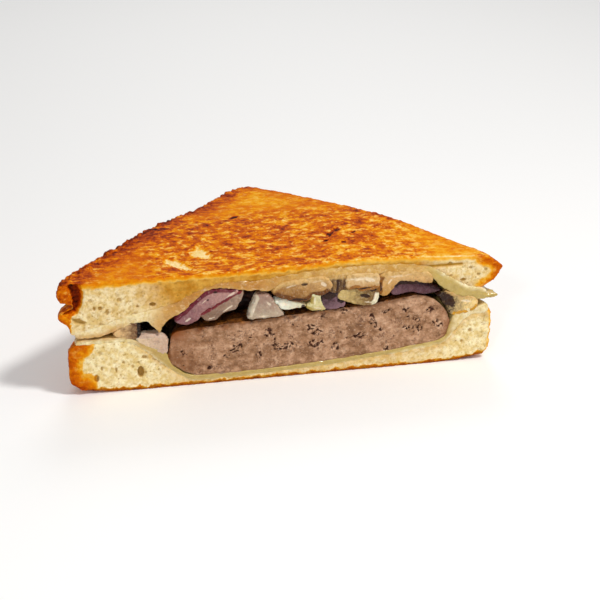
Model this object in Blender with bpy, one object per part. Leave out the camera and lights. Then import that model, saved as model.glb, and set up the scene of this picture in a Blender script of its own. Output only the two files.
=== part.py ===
"""One half of a patty melt, cut from corner to corner, as it stands on its underside.

The shapes are worked out in the frame of the cut, in millimetres: X runs along the cut, Y into the sandwich
and Z up. The cut is the plane Y = 0. Each layer is a slab between two heights, and each height is the curve
that the layer draws on the cut, swept round the patty's own axis. Places and heights inside the functions
are in millimetres of that frame too. The last step moves the half so that its origin is at the middle of its
underside.
"""

import math

import bmesh
import bpy
import numpy as np
from mathutils import Vector
from mathutils.geometry import tessellate_polygon

MM = 0.001

# Bread: a square slice with round corners, cut through two of them. The far corner is the sharper one.
BREAD_SIDE = 130.0
CUT_CORNER_RADIUS = 19.0
FAR_CORNER_RADIUS = 9.0
HALF_DIAGONAL = BREAD_SIDE / math.sqrt(2.0)
CUT_CORNER_X = HALF_DIAGONAL - CUT_CORNER_RADIUS * math.sqrt(2.0)
FAR_CORNER_Y = HALF_DIAGONAL - FAR_CORNER_RADIUS * math.sqrt(2.0)

# Patty: a disc whose axis stands a little in front of the cut, so the cut misses its middle.
PATTY_X = 10.0
PATTY_Y = -8.0
PATTY_HALF_CHORD = 57.5

# Levels on the cut.
TOP_LEVEL = 46.7
TOP_RISE = 3.6
LEFT_SLICE_TOP = 21.6
RIGHT_SLICE_TOP = 20.5
CHEESE_UNDER_PATTY = 1.6
TIP_CURL = 2.3
# Between layers that touch, and between the two cheeses where they meet behind the filling.
GAP = 0.3
SEAL_GAP = 0.9

# Where the middle of the underside lies in the frame of the cut.
ORIGIN_X = -0.737
ORIGIN_Y = 44.474

# The lower side of the upper cheese and of the upper slice, as (x, z) along the cut.
CHEESE_CEILING = (
    (-88, 24.2), (-73, 24.4), (-61, 28.3), (-53, 29.2), (-48, 29.3), (-42, 31.2), (-36.5, 35.6), (-31, 39.6),
    (-23, 39.9), (-17, 38.6), (-11, 38.0), (-7, 37.6), (-3.5, 40.4), (3, 41.8), (12, 42.4), (32, 42.4), (46, 41.8),
    (55, 41.0), (58, 39.6), (60.5, 36.6), (63, 33.8), (66, 31.4), (69, 29.7), (72, 28.5), (76.5, 27.8), (79.5, 25.9),
    (84, 25.2), (88, 25.4),
)
SLICE_CEILING = (
    (-88, 25.8), (-78, 26.8), (-66, 30.2), (-52, 33.4), (-42, 35.8), (-35, 39.4), (-28, 41.6), (-10, 41.8),
    (0, 43.0), (20, 44.3), (32, 44.3), (52, 43.0), (60, 40.8), (67, 36.6), (74, 32.4), (80, 31.2), (88, 31.2),
)
# How far the left crust of the upper slice stands out of the slice's outline, from its lower edge to its upper.
LEFT_CRUMPLE = (
    (0.0, 0.0), (0.2, 1.4), (0.38, 4.6), (0.48, 1.8), (0.56, -2.6), (0.64, 2.6), (0.78, 4.8), (0.93, 3.8), (1.0, 0.4),
)

# Steps of the shared net of points. Rings are shares of the way from the middle to the patty's edge, and then
# of the way on to a line just inside the slice's outline. Beyond that line each height runs on straight.
PATTY_RINGS = (0.22, 0.42, 0.58, 0.72, 0.82, 0.91, 1.0)
OUTER_RINGS = (0.12, 0.4, 0.7, 1.0)
INSIDE_OUTLINE = 5.0
NEAREST_RING = 0.93
PATTY_FLAT_RINGS = 3
LEG_STEPS = 14
TIP_STEPS = 3
APEX_STEPS = 4


def smooth(start, end, value):
    """0 before start, 1 after end, and an S-shaped rise between them."""
    t = np.clip((value - start) / (end - start), 0.0, 1.0)
    return t * t * (3.0 - 2.0 * t)


def bump(value, centre, width):
    """1 at centre, falling to almost nothing two widths away."""
    return np.exp(-(((value - centre) / width) ** 2))


def curve_through(points, value):
    """The height at value of the smooth curve through points, level beyond both ends."""
    px, pz = np.array(points, float).T
    slope = np.gradient(pz, px)
    value = np.clip(value, px[0], px[-1])
    i = np.clip(np.searchsorted(px, value) - 1, 0, len(px) - 2)
    width = px[i + 1] - px[i]
    t = (value - px[i]) / width
    rise = t * t * (3.0 - 2.0 * t)
    bend = t * (1.0 - t) * ((1.0 - t) * slope[i] - t * slope[i + 1]) * width
    return pz[i] * (1.0 - rise) + pz[i + 1] * rise + bend


def patty_reach(x, y):
    """Distance from the patty's middle, counted so that its edge is at PATTY_HALF_CHORD on every side."""
    return np.sqrt(np.maximum((x - PATTY_X) ** 2 + y * y - 2.0 * PATTY_Y * y, 0.0))


def swept(profile, x, y):
    """A height that is profile(x) on the cut, carried round the patty's axis behind it."""
    reach = patty_reach(x, y)
    right_share = 0.5 + 0.5 * (x - PATTY_X) / np.maximum(reach, 1e-6)
    return right_share * profile(PATTY_X + reach) + (1.0 - right_share) * profile(PATTY_X - reach)


def floor_profile(x):
    """Upper side of the lower slice: pressed thin under the patty, thick at both ends."""
    pressed = 2.4 + 0.00072 * (x + 28.0) ** 2
    left = smooth(36.0, 66.0, -x)
    right = smooth(63.0, 77.5, x)
    return pressed * (1.0 - left) * (1.0 - right) + LEFT_SLICE_TOP * left + RIGHT_SLICE_TOP * right


def cheese_floor_profile(x):
    """Upper side of the lower cheese: a thin sheet, thicker beside the patty and at the right-hand end."""
    thickness = CHEESE_UNDER_PATTY + 1.4 * bump(x, -52.0, 5.5) + 2.4 * smooth(77.0, 81.0, x)
    return floor_profile(x) + thickness


def patty_top_profile(x):
    return 27.0 + 0.058 * (x - PATTY_X) + bump(x, 52.0, 10.0)


def rise(y):
    """How much higher the upper slice lies behind the cut than on it."""
    return TOP_RISE * smooth(0.0, 45.0, y)


def inner_rise(x, y):
    """The share of that rise that lifts what lies under the upper slice, over the patty alone."""
    return rise(y) * (1.0 - smooth(46.0, 66.0, patty_reach(x, y)))


def underside(x, y):
    """Flat where it rests, with the three tips curled up a little."""
    return TIP_CURL * smooth(64.0, 88.0, np.abs(x)) + 0.6 * TIP_CURL * smooth(66.0, 86.0, y)


def floor(x, y):
    return swept(floor_profile, x, y)


def cheese_underside(x, y):
    """Lower side of the lower cheese: a touch further from the bread where the slice turns up."""
    return floor(x, y) + GAP + 0.7 * smooth(45.0, 62.0, patty_reach(x, y))


def cheese_floor(x, y):
    return swept(cheese_floor_profile, x, y)


def patty_underside(x, y):
    return cheese_floor(x, y) + GAP + 0.4 * smooth(20.0, 34.0, x - PATTY_X)


def patty_top(x, y):
    return swept(patty_top_profile, x, y)


def cheese_ceiling(x, y):
    """Lower side of the upper cheese. Behind the slices of mushroom at the cut it sinks onto the filling, and
    along the slices' edges onto the lower cheese."""
    level = swept(lambda v: curve_through(CHEESE_CEILING, v), x, y) + inner_rise(x, y)
    over_patty = 1.0 - smooth(38.0, 54.0, patty_reach(x, y))
    drip = 5.4 * bump(x, -51.2, 1.3) + 1.8 * bump(x, -48.7, 2.2)
    level = level - 5.5 * over_patty * smooth(9.0, 15.0, y) - drip * (1.0 - smooth(0.0, 4.0, y))
    from_leg = (HALF_DIAGONAL - np.abs(x) - y) / math.sqrt(2.0)
    sealed = (1.0 - smooth(3.5, 8.5, from_leg)) * smooth(6.5, 12.0, y)
    return level * (1.0 - sealed) + (cheese_floor(x, y) + SEAL_GAP) * sealed


def slice_ceiling(x, y):
    return swept(lambda v: curve_through(SLICE_CEILING, v), x, y) + inner_rise(x, y)


def cheese_top_side(x, y):
    return slice_ceiling(x, y) - GAP


def top_side(x, y):
    """Upper side of the upper slice: a low dome that falls off at both ends of the cut."""
    level = TOP_LEVEL + 0.9 * bump(x, 25.0, 20.0) - 1.6 * smooth(45.0, 82.0, x) + rise(y)
    level = level + 0.9 * smooth(10.0, 60.0, -x) * smooth(10.0, 40.0, y)
    return level - 2.6 * smooth(78.0, 90.0, np.abs(x))


def outline():
    """Points of the slice's outline from the left end of the cut, round the far corner, to the right end."""
    points = []
    for start, end, steps, x, y, radius in (
        (180.0, 135.0, TIP_STEPS, -CUT_CORNER_X, 0.0, CUT_CORNER_RADIUS),
        (135.0, 45.0, APEX_STEPS, 0.0, FAR_CORNER_Y, FAR_CORNER_RADIUS),
        (45.0, 0.0, TIP_STEPS, CUT_CORNER_X, 0.0, CUT_CORNER_RADIUS),
    ):
        turn = np.radians(np.linspace(start, end, steps + 1))
        arc = np.column_stack([x + radius * np.cos(turn), y + radius * np.sin(turn)])
        if points:
            leg = np.linspace(points[-1], arc[0], LEG_STEPS + 1)[1:-1]
            points.extend(leg)
        points.extend(arc)
    return np.array(points)


class Net:
    """Directions from the middle of the patty's cut, with the distance to its edge and to the bread's outline."""

    def __init__(self):
        reach = outline() - (PATTY_X, 0.0)
        self.bread = np.hypot(reach[:, 0], reach[:, 1])
        self.way = reach / self.bread[:, None]
        sine = self.way[:, 1]
        self.patty = PATTY_Y * sine + np.sqrt((PATTY_Y * sine) ** 2 + PATTY_HALF_CHORD**2)
        self.inside = self.bread - INSIDE_OUTLINE
        self.knee = np.minimum(self.patty, self.inside * NEAREST_RING)
        self.right_share = 0.5 + 0.5 * self.way[:, 0]
        self.along = np.linspace(0.0, 1.0, len(self.bread))

    def ring(self, number):
        """Distances of ring 1, 2, and so on."""
        if number <= len(PATTY_RINGS):
            return self.knee * PATTY_RINGS[number - 1]
        share = OUTER_RINGS[number - 1 - len(PATTY_RINGS)]
        return self.knee + (self.inside - self.knee) * share

    def at(self, distance):
        return np.array([PATTY_X, 0.0]) + self.way * np.asarray(distance)[..., None]


class Shell:
    """Points and triangles of one closed surface."""

    def __init__(self):
        self.points = []
        self.faces = []

    def add(self, points):
        """Adds an array of points and returns their numbers in the same arrangement."""
        points = np.asarray(points, float)
        first = len(self.points)
        self.points.extend(points.reshape(-1, 3))
        return first + np.arange(points.size // 3).reshape(points.shape[:-1])

    def cover(self, grid):
        """Two triangles for each cell of a grid of point numbers."""
        for low, high in zip(grid[:-1], grid[1:]):
            for a, b, c, d in zip(low[:-1], low[1:], high[1:], high[:-1]):
                for face in ((a, b, c), (a, c, d)):
                    if len(set(face)) == 3:
                        self.faces.append([int(corner) for corner in face])

    def build(self, name, colour, roughness):
        mesh = bpy.data.meshes.new(name)
        place = (np.array(self.points) - (ORIGIN_X, ORIGIN_Y, 0.0)) * MM
        mesh.from_pydata(place.tolist(), [], self.faces)
        work = bmesh.new()
        work.from_mesh(mesh)
        bmesh.ops.recalc_face_normals(work, faces=work.faces)
        if work.calc_volume(signed=True) < 0.0:
            bmesh.ops.reverse_faces(work, faces=work.faces)
        work.to_mesh(mesh)
        work.free()
        mesh.shade_smooth()
        mesh.set_sharp_from_angle(angle=math.radians(50.0))
        mesh.materials.append(material(name, colour, roughness))
        made = bpy.data.objects.new(name, mesh)
        bpy.context.scene.collection.objects.link(made)
        return made


def material(name, colour, roughness):
    made = bpy.data.materials.new(name)
    made.use_nodes = True
    shader = made.node_tree.nodes["Principled BSDF"]
    shader.inputs["Base Color"].default_value = (*colour, 1.0)
    shader.inputs["Roughness"].default_value = roughness
    shader.inputs["Metallic"].default_value = 0.0
    return made


def slab(net, low, high, wall, rim, rings, rows, relief=None, free=None):
    """The closed surface between two heights. Rings 1 to rings are the net's, and the last edge is rim plus
    wall, which gives for a share of the wall's height how far it stands out and how high it is. Past the last
    ring a height runs on straight, so that two slabs that touch stay apart, but not the height named in free.
    relief pushes the cut's face back, or out where it is negative."""
    shell = Shell()
    steps = np.linspace(0.0, 1.0, rows + 1)
    walls = [wall(t, net) for t in steps]

    def side(height, out):
        """The grid of one side, its first row the middle point again and again."""
        middle = shell.add([[PATTY_X, 0.0, height(PATTY_X, 0.0)]])
        grid = [np.repeat(middle, len(net.bread))]
        for k in range(1, rings + 1):
            before = level if k > 1 else None
            spot = net.at(net.ring(k))
            level = height(spot[:, 0], spot[:, 1])
            grid.append(shell.add(np.column_stack([spot, level])))
        spot = net.at(rim + out)
        if height is free:
            last = height(spot[:, 0], spot[:, 1])
        else:
            slope = (level - before) / (net.ring(rings) - net.ring(rings - 1))
            last = level + slope * (rim + out - net.ring(rings))
        grid.append(shell.add(np.column_stack([spot, last])))
        return np.array(grid)

    bottom = side(low, walls[0][0])
    top = side(high, walls[-1][0])
    points = np.array(shell.points)
    foot, head = points[bottom[-1]], points[top[-1]]
    edge = [bottom[-1]]
    for out, share in walls[1:-1]:
        spot = net.at(rim + out)
        level = foot[:, 2] + share * (head[:, 2] - foot[:, 2])
        edge.append(shell.add(np.column_stack([spot, level])))
    edge.append(top[-1])
    edge = np.array(edge)
    shell.cover(top)
    shell.cover(bottom)
    shell.cover(edge)

    columns = []
    points = np.array(shell.points)
    for end in (0, -1):
        straight = points[edge[0, end]] + steps[:, None] * (points[edge[-1, end]] - points[edge[0, end]])
        bulge = points[edge[:, end]] - straight
        run = [edge[:, end]]
        for k in range(rings, 0, -1):
            a, b = points[bottom[k, end]], points[top[k, end]]
            fade = (k / (rings + 1.0)) ** 6
            spots = a + steps[1:-1, None] * (b - a) + fade * bulge[1:-1]
            if relief is not None:
                spots[:, 1] += relief(spots[:, 0], spots[:, 2])
            run.append(np.concatenate([[bottom[k, end]], shell.add(spots), [top[k, end]]]))
        columns.append(run)
    a, b = points[bottom[0, 0]], points[top[0, 0]]
    spots = a + steps[1:-1, None] * (b - a)
    if relief is not None:
        spots[:, 1] += relief(spots[:, 0], spots[:, 2])
    middle = np.concatenate([[bottom[0, 0]], shell.add(spots), [top[0, 0]]])
    shell.cover(np.array(columns[0] + [middle] + columns[1][::-1]))
    return shell


def bread_bottom_wall(t, net):
    """A crust that bulges at half height, most at the left end, and is round below."""
    left = 1.0 - smooth(0.04, 0.2, net.along)
    right = smooth(0.86, 0.97, net.along)
    out = 1.3 * (1.0 - (2.0 * t - 1.0) ** 2) - 2.2 * (1.0 - smooth(0.0, 0.2, t)) - 0.8 * smooth(0.85, 1.0, t)
    out = out + left * (2.4 * np.sin(math.pi * t) - 0.6 * smooth(0.8, 1.0, t)) - 1.4 * right * np.sin(math.pi * t)
    return out + 0.5 * np.sin(19.0 * net.along + 2.0 * t), t


def bread_top_wall(t, net):
    """A crust buckled into two lips at the left end, pushed to a point at the right end, round above."""
    left = 1.0 - smooth(0.03, 0.24, net.along)
    right = smooth(0.84, 0.98, net.along)
    out = 1.5 * (1.0 - (2.0 * t - 1.0) ** 2) - 1.8 * smooth(0.86, 1.0, t) - 1.0 * (1.0 - smooth(0.0, 0.15, t))
    out = out * (1.0 - left) + left * curve_through(LEFT_CRUMPLE, t)
    out = out + 2.4 * right * (bump(t, 0.52, 0.3) - smooth(0.8, 1.0, t) - 1.0 + smooth(0.0, 0.3, t))
    return out + 0.5 * np.sin(23.0 * net.along + 3.0 * t), t


def cheese_wall(lip):
    """A rounded edge of melted cheese that runs out here and there, with a lip at the right end."""

    def wall(t, net):
        flow = 1.1 * np.sin(31.0 * net.along + 0.6) + 0.8 * np.sin(53.0 * net.along + 2.0)
        ends = smooth(0.0, 0.05, net.along) * (1.0 - smooth(0.95, 1.0, net.along))
        out = -1.0 + flow * ends + lip * smooth(0.9, 0.985, net.along)
        return out - 1.1 * (2.0 * t - 1.0) ** 2, t

    return wall


def patty_wall(t, net):
    """The patty's edge, as a superellipse: bevelled low on the left, slanted high on the right."""
    right = net.right_share
    belly = 0.43 - 0.11 * right
    turn = math.pi * (t - 0.5)
    power = (1.4 + 0.6 * right) if t < 0.5 else (2.5 - 0.5 * right)
    in_share = 1.0 - np.power(np.full_like(right, max(math.cos(turn), 0.0)), 2.0 / power)
    up = np.power(np.full_like(right, abs(math.sin(turn))), 2.0 / power)
    share = belly * (1.0 - up) if t < 0.5 else belly + (1.0 - belly) * up
    rough = 0.5 * np.sin(37.0 * net.along + 5.0 * t) * math.cos(turn)
    inset = net.patty * (1.0 - PATTY_RINGS[PATTY_FLAT_RINGS])
    return rough - inset * in_share, share


def crag(x, z):
    """Coarse relief of the patty's cut face."""
    return -0.5 + 0.35 * np.sin(0.9 * x + 0.5 * z) * np.sin(0.55 * x - 1.1 * z)


def crumb(x, z):
    """Soft relief of the bread's cut face."""
    return 0.25 * np.sin(0.6 * x + 0.9 * z) * np.sin(0.35 * x - 0.8 * z)


def crumb_and_pocket(x, z):
    """The same, with the hollow behind the buckled crust at the left end."""
    return crumb(x, z) + 2.6 * bump(x, -82.5, 3.2) * bump(z, 39.5, 4.5)


def layers(net):
    """The six layers that run through the sandwich."""
    bread_rim, patty_rim = net.bread, net.patty
    all_rings = len(PATTY_RINGS) + len(OUTER_RINGS)
    slab(net, underside, floor, bread_bottom_wall, bread_rim, all_rings, 6, crumb).build(
        "bread_bottom", (0.80, 0.47, 0.16), 0.85
    )
    slab(
        net, cheese_underside, cheese_floor, cheese_wall(0.4), bread_rim, all_rings, 3, free=cheese_floor
    ).build("cheese_bottom", (0.86, 0.70, 0.36), 0.35)
    slab(net, patty_underside, patty_top, patty_wall, patty_rim, PATTY_FLAT_RINGS, 10, crag).build(
        "patty", (0.30, 0.19, 0.14), 0.7
    )
    slab(
        net, cheese_ceiling, cheese_top_side, cheese_wall(4.8), bread_rim, all_rings, 3, free=cheese_ceiling
    ).build("cheese_top", (0.86, 0.70, 0.40), 0.3)
    slab(net, slice_ceiling, top_side, bread_top_wall, bread_rim, all_rings, 9, crumb_and_pocket).build(
        "bread_top", (0.78, 0.38, 0.08), 0.8
    )


# Onion and mushroom at the cut: each piece's outline there as (x, z), and how far it stands out of the cut.
PIECES = {
    "red_onion_1": (
        ((-43.4, 28.6), (-39.5, 32.2), (-35.5, 35.9), (-31.8, 38.8), (-28, 39.6), (-23.5, 39.2), (-19.6, 38.7),
         (-24, 36.1), (-29, 33.5), (-34, 30.7), (-36, 28.1), (-39.5, 26.6)), 0.6,
    ),
    "red_onion_2": (
        ((-33.3, 30.2), (-29, 32.8), (-24.2, 35.4), (-20, 37.8), (-17.6, 38.0), (-17.4, 36.6), (-18.8, 34),
         (-20.2, 31.5), (-23, 30.8), (-25.2, 29.9), (-28, 27.7), (-31, 27.4), (-33, 28.5)), 0.2,
    ),
    "red_onion_3": (
        ((14.6, 33.6), (17, 34.5), (20.2, 34), (21, 31.6), (23.2, 30.4), (23.4, 28.8), (21.8, 28.1), (16.2, 28),
         (15, 30)), 0.3,
    ),
    "red_onion_4": (
        ((43.4, 31.9), (43.5, 34), (45.2, 36.1), (48.5, 36.9), (52.5, 36.3), (56.8, 35.2), (60, 33.6), (62.2, 31.7),
         (59.5, 31.3), (56.5, 31.2), (53.5, 31.9), (50.5, 32.6), (47.5, 31.9), (45.2, 31.5)), 0.0,
    ),
    "red_onion_5": (
        ((-58.4, 22.6), (-54.5, 22.5), (-50.6, 22.3), (-48.8, 20.8), (-48.4, 18.4), (-49.2, 16), (-51.6, 17),
         (-54.5, 19), (-57.4, 21.4)), 0.2,
    ),
    "white_onion_1": (
        ((-14.2, 28), (-13.7, 30.4), (-12.4, 33.4), (-11.4, 35.3), (-9.8, 35.9), (-7.8, 35.4), (-6.1, 34.2),
         (-4.9, 32), (-3.2, 29.6), (-1.6, 27.6), (-2.4, 26.9), (-13.4, 26.9)), 0.8,
    ),
    "white_onion_2": (
        ((-4, 32.6), (-1.5, 32.9), (0.6, 32.6), (3, 31.8), (7.6, 30.3), (4.6, 29.7), (1.5, 29.4), (-1.2, 29.9),
         (-2.6, 31)), 0.4,
    ),
    "white_onion_3": (
        ((10.5, 34.2), (13, 34.3), (13.7, 32), (14.3, 29.6), (15.2, 27.9), (10.2, 28.3), (8.6, 29.7), (10.2, 31)), 0.6,
    ),
    "mushroom_1": (
        ((21.6, 32.9), (23, 34.4), (27.5, 34.6), (34.4, 34.6), (36.4, 33.4), (36.9, 31.6), (36, 29.6), (34.6, 28.7),
         (31.5, 29.1), (28.5, 29.8), (26, 30.8), (24, 31.3)), 0.4,
    ),
    "mushroom_2": (
        ((64.6, 29), (66.4, 29.9), (69, 28.8), (71.6, 27.5), (76.6, 27), (78, 25), (76.8, 22.7), (72.5, 21.9),
         (69.4, 21.9), (67.8, 23.6), (66.4, 26.4)), 0.4,
    ),
    "mushroom_3": (
        ((-66.6, 24.6), (-63, 26.2), (-59.5, 26.8), (-57.3, 26.1), (-56.3, 25), (-56.5, 23.5), (-60, 23.6),
         (-64, 23.9)), 0.2,
    ),
    "mushroom_4": (
        ((-4.4, 37.4), (-1.6, 39.4), (3.5, 40.6), (9, 41.2), (14, 41.2), (16.9, 39.6), (17.2, 36.8), (15, 35.2),
         (11, 34.9), (8, 33.2), (4.4, 32.9), (1, 34.2), (-3, 35.7)), 1.0,
    ),
    "mushroom_5": (
        ((17.9, 41.2), (20.5, 41.7), (24.3, 41.5), (24.6, 38.5), (24.3, 35.4), (21, 35), (18.1, 35.6), (17.7, 38)), 0.4,
    ),
    "mushroom_6": (
        ((25.3, 36.3), (25.2, 40.6), (28.5, 41.6), (33, 41.5), (36.2, 40.6), (36.8, 37.4), (35.6, 35.6), (31, 35.5),
         (27.8, 36.5)), 0.9,
    ),
    "mushroom_7": (
        ((38.3, 33.2), (38, 37), (39.4, 40), (44, 40.9), (52, 40.5), (57, 39.2), (58.6, 37.6), (58.4, 36.2),
         (56, 36.6), (52.2, 37.6), (47.5, 38.1), (44.4, 37.1), (42.6, 34.8), (40.4, 32.8)), 0.6,
    ),
}
PIECE_LOOKS = {
    "red_onion": ((0.33, 0.16, 0.22), 0.3),
    "white_onion": ((0.72, 0.68, 0.60), 0.25),
    "mushroom": ((0.62, 0.46, 0.30), 0.4),
}
# Each piece's depth behind the cut, and along that depth how far its outline is drawn in.
PIECE_DEPTH = 5.4
PIECE_INSETS = ((0.0, 0.45), (0.12, 0.0), (0.6, 0.15), (1.0, 0.7))
SQUEEZE_GAP = 0.6
LEAST_HEIGHT = 0.8


def drawn_in(loop, inset):
    """The closed outline with every corner moved inwards."""
    ahead = np.roll(loop, -1, axis=0) - np.roll(loop, 1, axis=0)
    ahead /= np.hypot(*ahead.T)[:, None]
    after = np.roll(loop, -1, axis=0)
    area = np.sum(loop[:, 0] * after[:, 1] - loop[:, 1] * after[:, 0])
    inwards = np.column_stack([-ahead[:, 1], ahead[:, 0]]) * np.sign(area)
    return loop + inwards * inset


def piece(name):
    """One slice or lump of onion or mushroom, reaching from the cut back into the sandwich."""
    corners, front = PIECES[name]
    outline_here = np.array(corners, float)
    on_patty = abs(outline_here[:, 0].mean() - PATTY_X) < PATTY_HALF_CHORD - 5.0
    under = patty_top if on_patty else cheese_floor
    shell = Shell()
    loops = []
    for share, inset in PIECE_INSETS:
        loop = drawn_in(outline_here, inset)
        x = loop[:, 0]
        y = np.full(len(loop), share * (PIECE_DEPTH + front) - front)
        inside = np.maximum(y, 0.0)
        low = under(x, inside) + SQUEEZE_GAP
        high = cheese_ceiling(x, inside) - SQUEEZE_GAP
        z = np.clip(loop[:, 1], low, np.maximum(high, low + LEAST_HEIGHT))
        loops.append(shell.add(np.column_stack([x, y, z])))
    shell.cover(np.array([np.append(loop, loop[0]) for loop in loops]))
    filled = tessellate_polygon([[Vector((x, z, 0.0)) for x, z in corners]])
    for loop in (loops[0], loops[-1]):
        shell.faces.extend([int(loop[corner]) for corner in face] for face in filled)
    kind = name.rsplit("_", 1)[0]
    return shell.build(name, *PIECE_LOOKS[kind])


# The heap of cooked onion and mushroom on the patty, behind the pieces at the cut.
HEAP_FRONT = 6.0
HOLLOW_X = -19.0
HEAP_REACH = 54.0
HEAP_RINGS = (0.2, 0.38, 0.54, 0.7, 0.85, 1.0)
HEAP_STEPS = 26


def heap():
    """An uneven cushion between the patty and the upper cheese, with lumps at its edge."""
    shell = Shell()
    turn = np.linspace(math.pi, 0.0, HEAP_STEPS + 1)
    way = np.column_stack([np.cos(turn), np.sin(turn)])
    start = np.array([PATTY_X, HEAP_FRONT])
    lumps = 1.3 * np.sin(9.0 * turn) + 0.9 * np.sin(17.0 * turn + 1.0)
    sine = way[:, 1]
    offset = HEAP_FRONT - PATTY_Y
    reach_squared = HEAP_REACH**2 + PATTY_Y**2 - offset**2
    edge = -offset * sine + np.sqrt((offset * sine) ** 2 + reach_squared) + lumps - 1.2

    def net_of(scale):
        spot = start + way * (edge * scale)[:, None]
        dent = 4.5 * bump(spot[:, 0], HOLLOW_X, 7.0) - 1.2 * np.sin(0.45 * spot[:, 0]) ** 2 + 1.2
        spot[:, 1] += dent * np.exp((HEAP_FRONT - spot[:, 1]) / 5.0)
        return spot

    def upper(x, y):
        lumpy = 0.7 * np.sin(0.31 * x + 1.0) * np.sin(0.37 * y)
        return np.minimum(cheese_ceiling(x, y) - 1.4, patty_top(x, y) + 9.5) + np.minimum(lumpy, 0.3)

    def lower(x, y):
        return patty_top(x, y) + 0.9

    def side(height):
        middle = shell.add([[*start, height(*start)]])
        grid = [np.repeat(middle, len(turn))]
        for share in HEAP_RINGS:
            spot = net_of(share)
            fall = 0.0 if share < 1.0 else 1.6
            level = height(spot[:, 0], spot[:, 1])
            level = level - fall if height is upper else level + 0.5 * fall
            grid.append(shell.add(np.column_stack([spot, level])))
        return np.array(grid)

    top, bottom = side(upper), side(lower)
    points = np.array(shell.points)
    belly = 0.5 * (points[top[-1]] + points[bottom[-1]])
    belly[:, :2] += way * 1.2
    waist = shell.add(belly)
    shell.cover(top)
    shell.cover(bottom)
    shell.cover(np.array([bottom[-1], waist, top[-1]]))
    line_top = np.concatenate([top[:0:-1, 0], [top[0, 0]], top[1:, -1]])
    line_bottom = np.concatenate([bottom[:0:-1, 0], [bottom[0, 0]], bottom[1:, -1]])
    half = 0.5 * (points[line_top] + points[line_bottom])[1:-1]
    half[:, 1] -= 0.25 + 0.2 * np.sin(0.5 * half[:, 0])
    line_half = np.concatenate([[waist[0]], shell.add(half), [waist[-1]]])
    shell.cover(np.array([line_bottom, line_half, line_top]))
    return shell.build("filling_heap", (0.35, 0.23, 0.17), 0.5)


def main():
    for old in list(bpy.data.objects):
        bpy.data.objects.remove(old)
    layers(Net())
    heap()
    for name in PIECES:
        piece(name)


main()
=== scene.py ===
"""Half of a patty melt, dressed: toasted bread with an open crumb, melted cheese, a minced beef patty, and
cooked onion and mushroom at the cut.

Shapes are worked out in millimetres in the frame of the cut: X along the cut, Y into the sandwich, Z up. The
cut is the plane Y = 0. FRAME_ORIGIN says where the model's own origin lies there.
"""

import functools
import itertools
import math

import bmesh
import bpy
import numpy as np
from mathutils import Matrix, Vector
from mathutils.geometry import tessellate_polygon


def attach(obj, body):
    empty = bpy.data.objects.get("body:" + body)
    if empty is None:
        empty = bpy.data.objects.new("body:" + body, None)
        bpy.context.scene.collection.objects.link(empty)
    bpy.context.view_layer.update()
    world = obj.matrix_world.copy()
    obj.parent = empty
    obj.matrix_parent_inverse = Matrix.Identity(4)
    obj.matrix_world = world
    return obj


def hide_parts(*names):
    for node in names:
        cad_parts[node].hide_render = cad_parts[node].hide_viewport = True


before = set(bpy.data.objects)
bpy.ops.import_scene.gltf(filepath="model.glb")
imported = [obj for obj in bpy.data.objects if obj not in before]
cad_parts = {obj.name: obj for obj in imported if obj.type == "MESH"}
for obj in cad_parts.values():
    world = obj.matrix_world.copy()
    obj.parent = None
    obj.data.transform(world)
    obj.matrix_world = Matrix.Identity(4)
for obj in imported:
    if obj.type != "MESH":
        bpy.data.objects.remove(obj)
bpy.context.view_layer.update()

MM = 0.001
FRAME_ORIGIN = np.array([-0.737, 44.474, 0.0])

# Camera, in the frame of the cut.
CAMERA_AZIMUTH = -12.25
CAMERA_ELEVATION = 22.8
CAMERA_DISTANCE = 700.0
CAMERA_TARGET = (5.594, 0.0, 32.559)
CAMERA_FOV = 19.0984

# The solids' own sizes, as the CAD has them.
BREAD_SIDE = 130.0
CUT_CORNER_RADIUS = 19.0
FAR_CORNER_RADIUS = 9.0
HALF_DIAGONAL = BREAD_SIDE / math.sqrt(2.0)
CUT_CORNER_X = HALF_DIAGONAL - CUT_CORNER_RADIUS * math.sqrt(2.0)
FAR_CORNER_Y = HALF_DIAGONAL - FAR_CORNER_RADIUS * math.sqrt(2.0)
PATTY_X = 10.0
PATTY_Y = -8.0
PATTY_HALF_CHORD = 57.5
PATTY_LEFT = PATTY_X - PATTY_HALF_CHORD
PATTY_RIGHT = PATTY_X + PATTY_HALF_CHORD
TOP_LEVEL = 46.7
TOP_RISE = 3.6
LEFT_SLICE_TOP = 21.6
RIGHT_SLICE_TOP = 20.5
CHEESE_UNDER_PATTY = 1.6
TIP_CURL = 2.3
# Cheese and bread are sunk into each other by this much, so that no line of shadow shows between them.
SUNK = 1.0
FAR = 1e6
# The slices' ends lie beyond this distance from the middle of the cut.
TIPS_FROM = 60.0
# The outline of a slice's end: points this near the cut make it, at levels this far apart, as far in from the
# tip as END_DEPTH, and points out to NEAR_CUT are measured from it.
AT_CUT = 1.5
LEVEL_STEP = 0.5
END_DEPTH = 9.0
NEAR_CUT = 5.0

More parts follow.
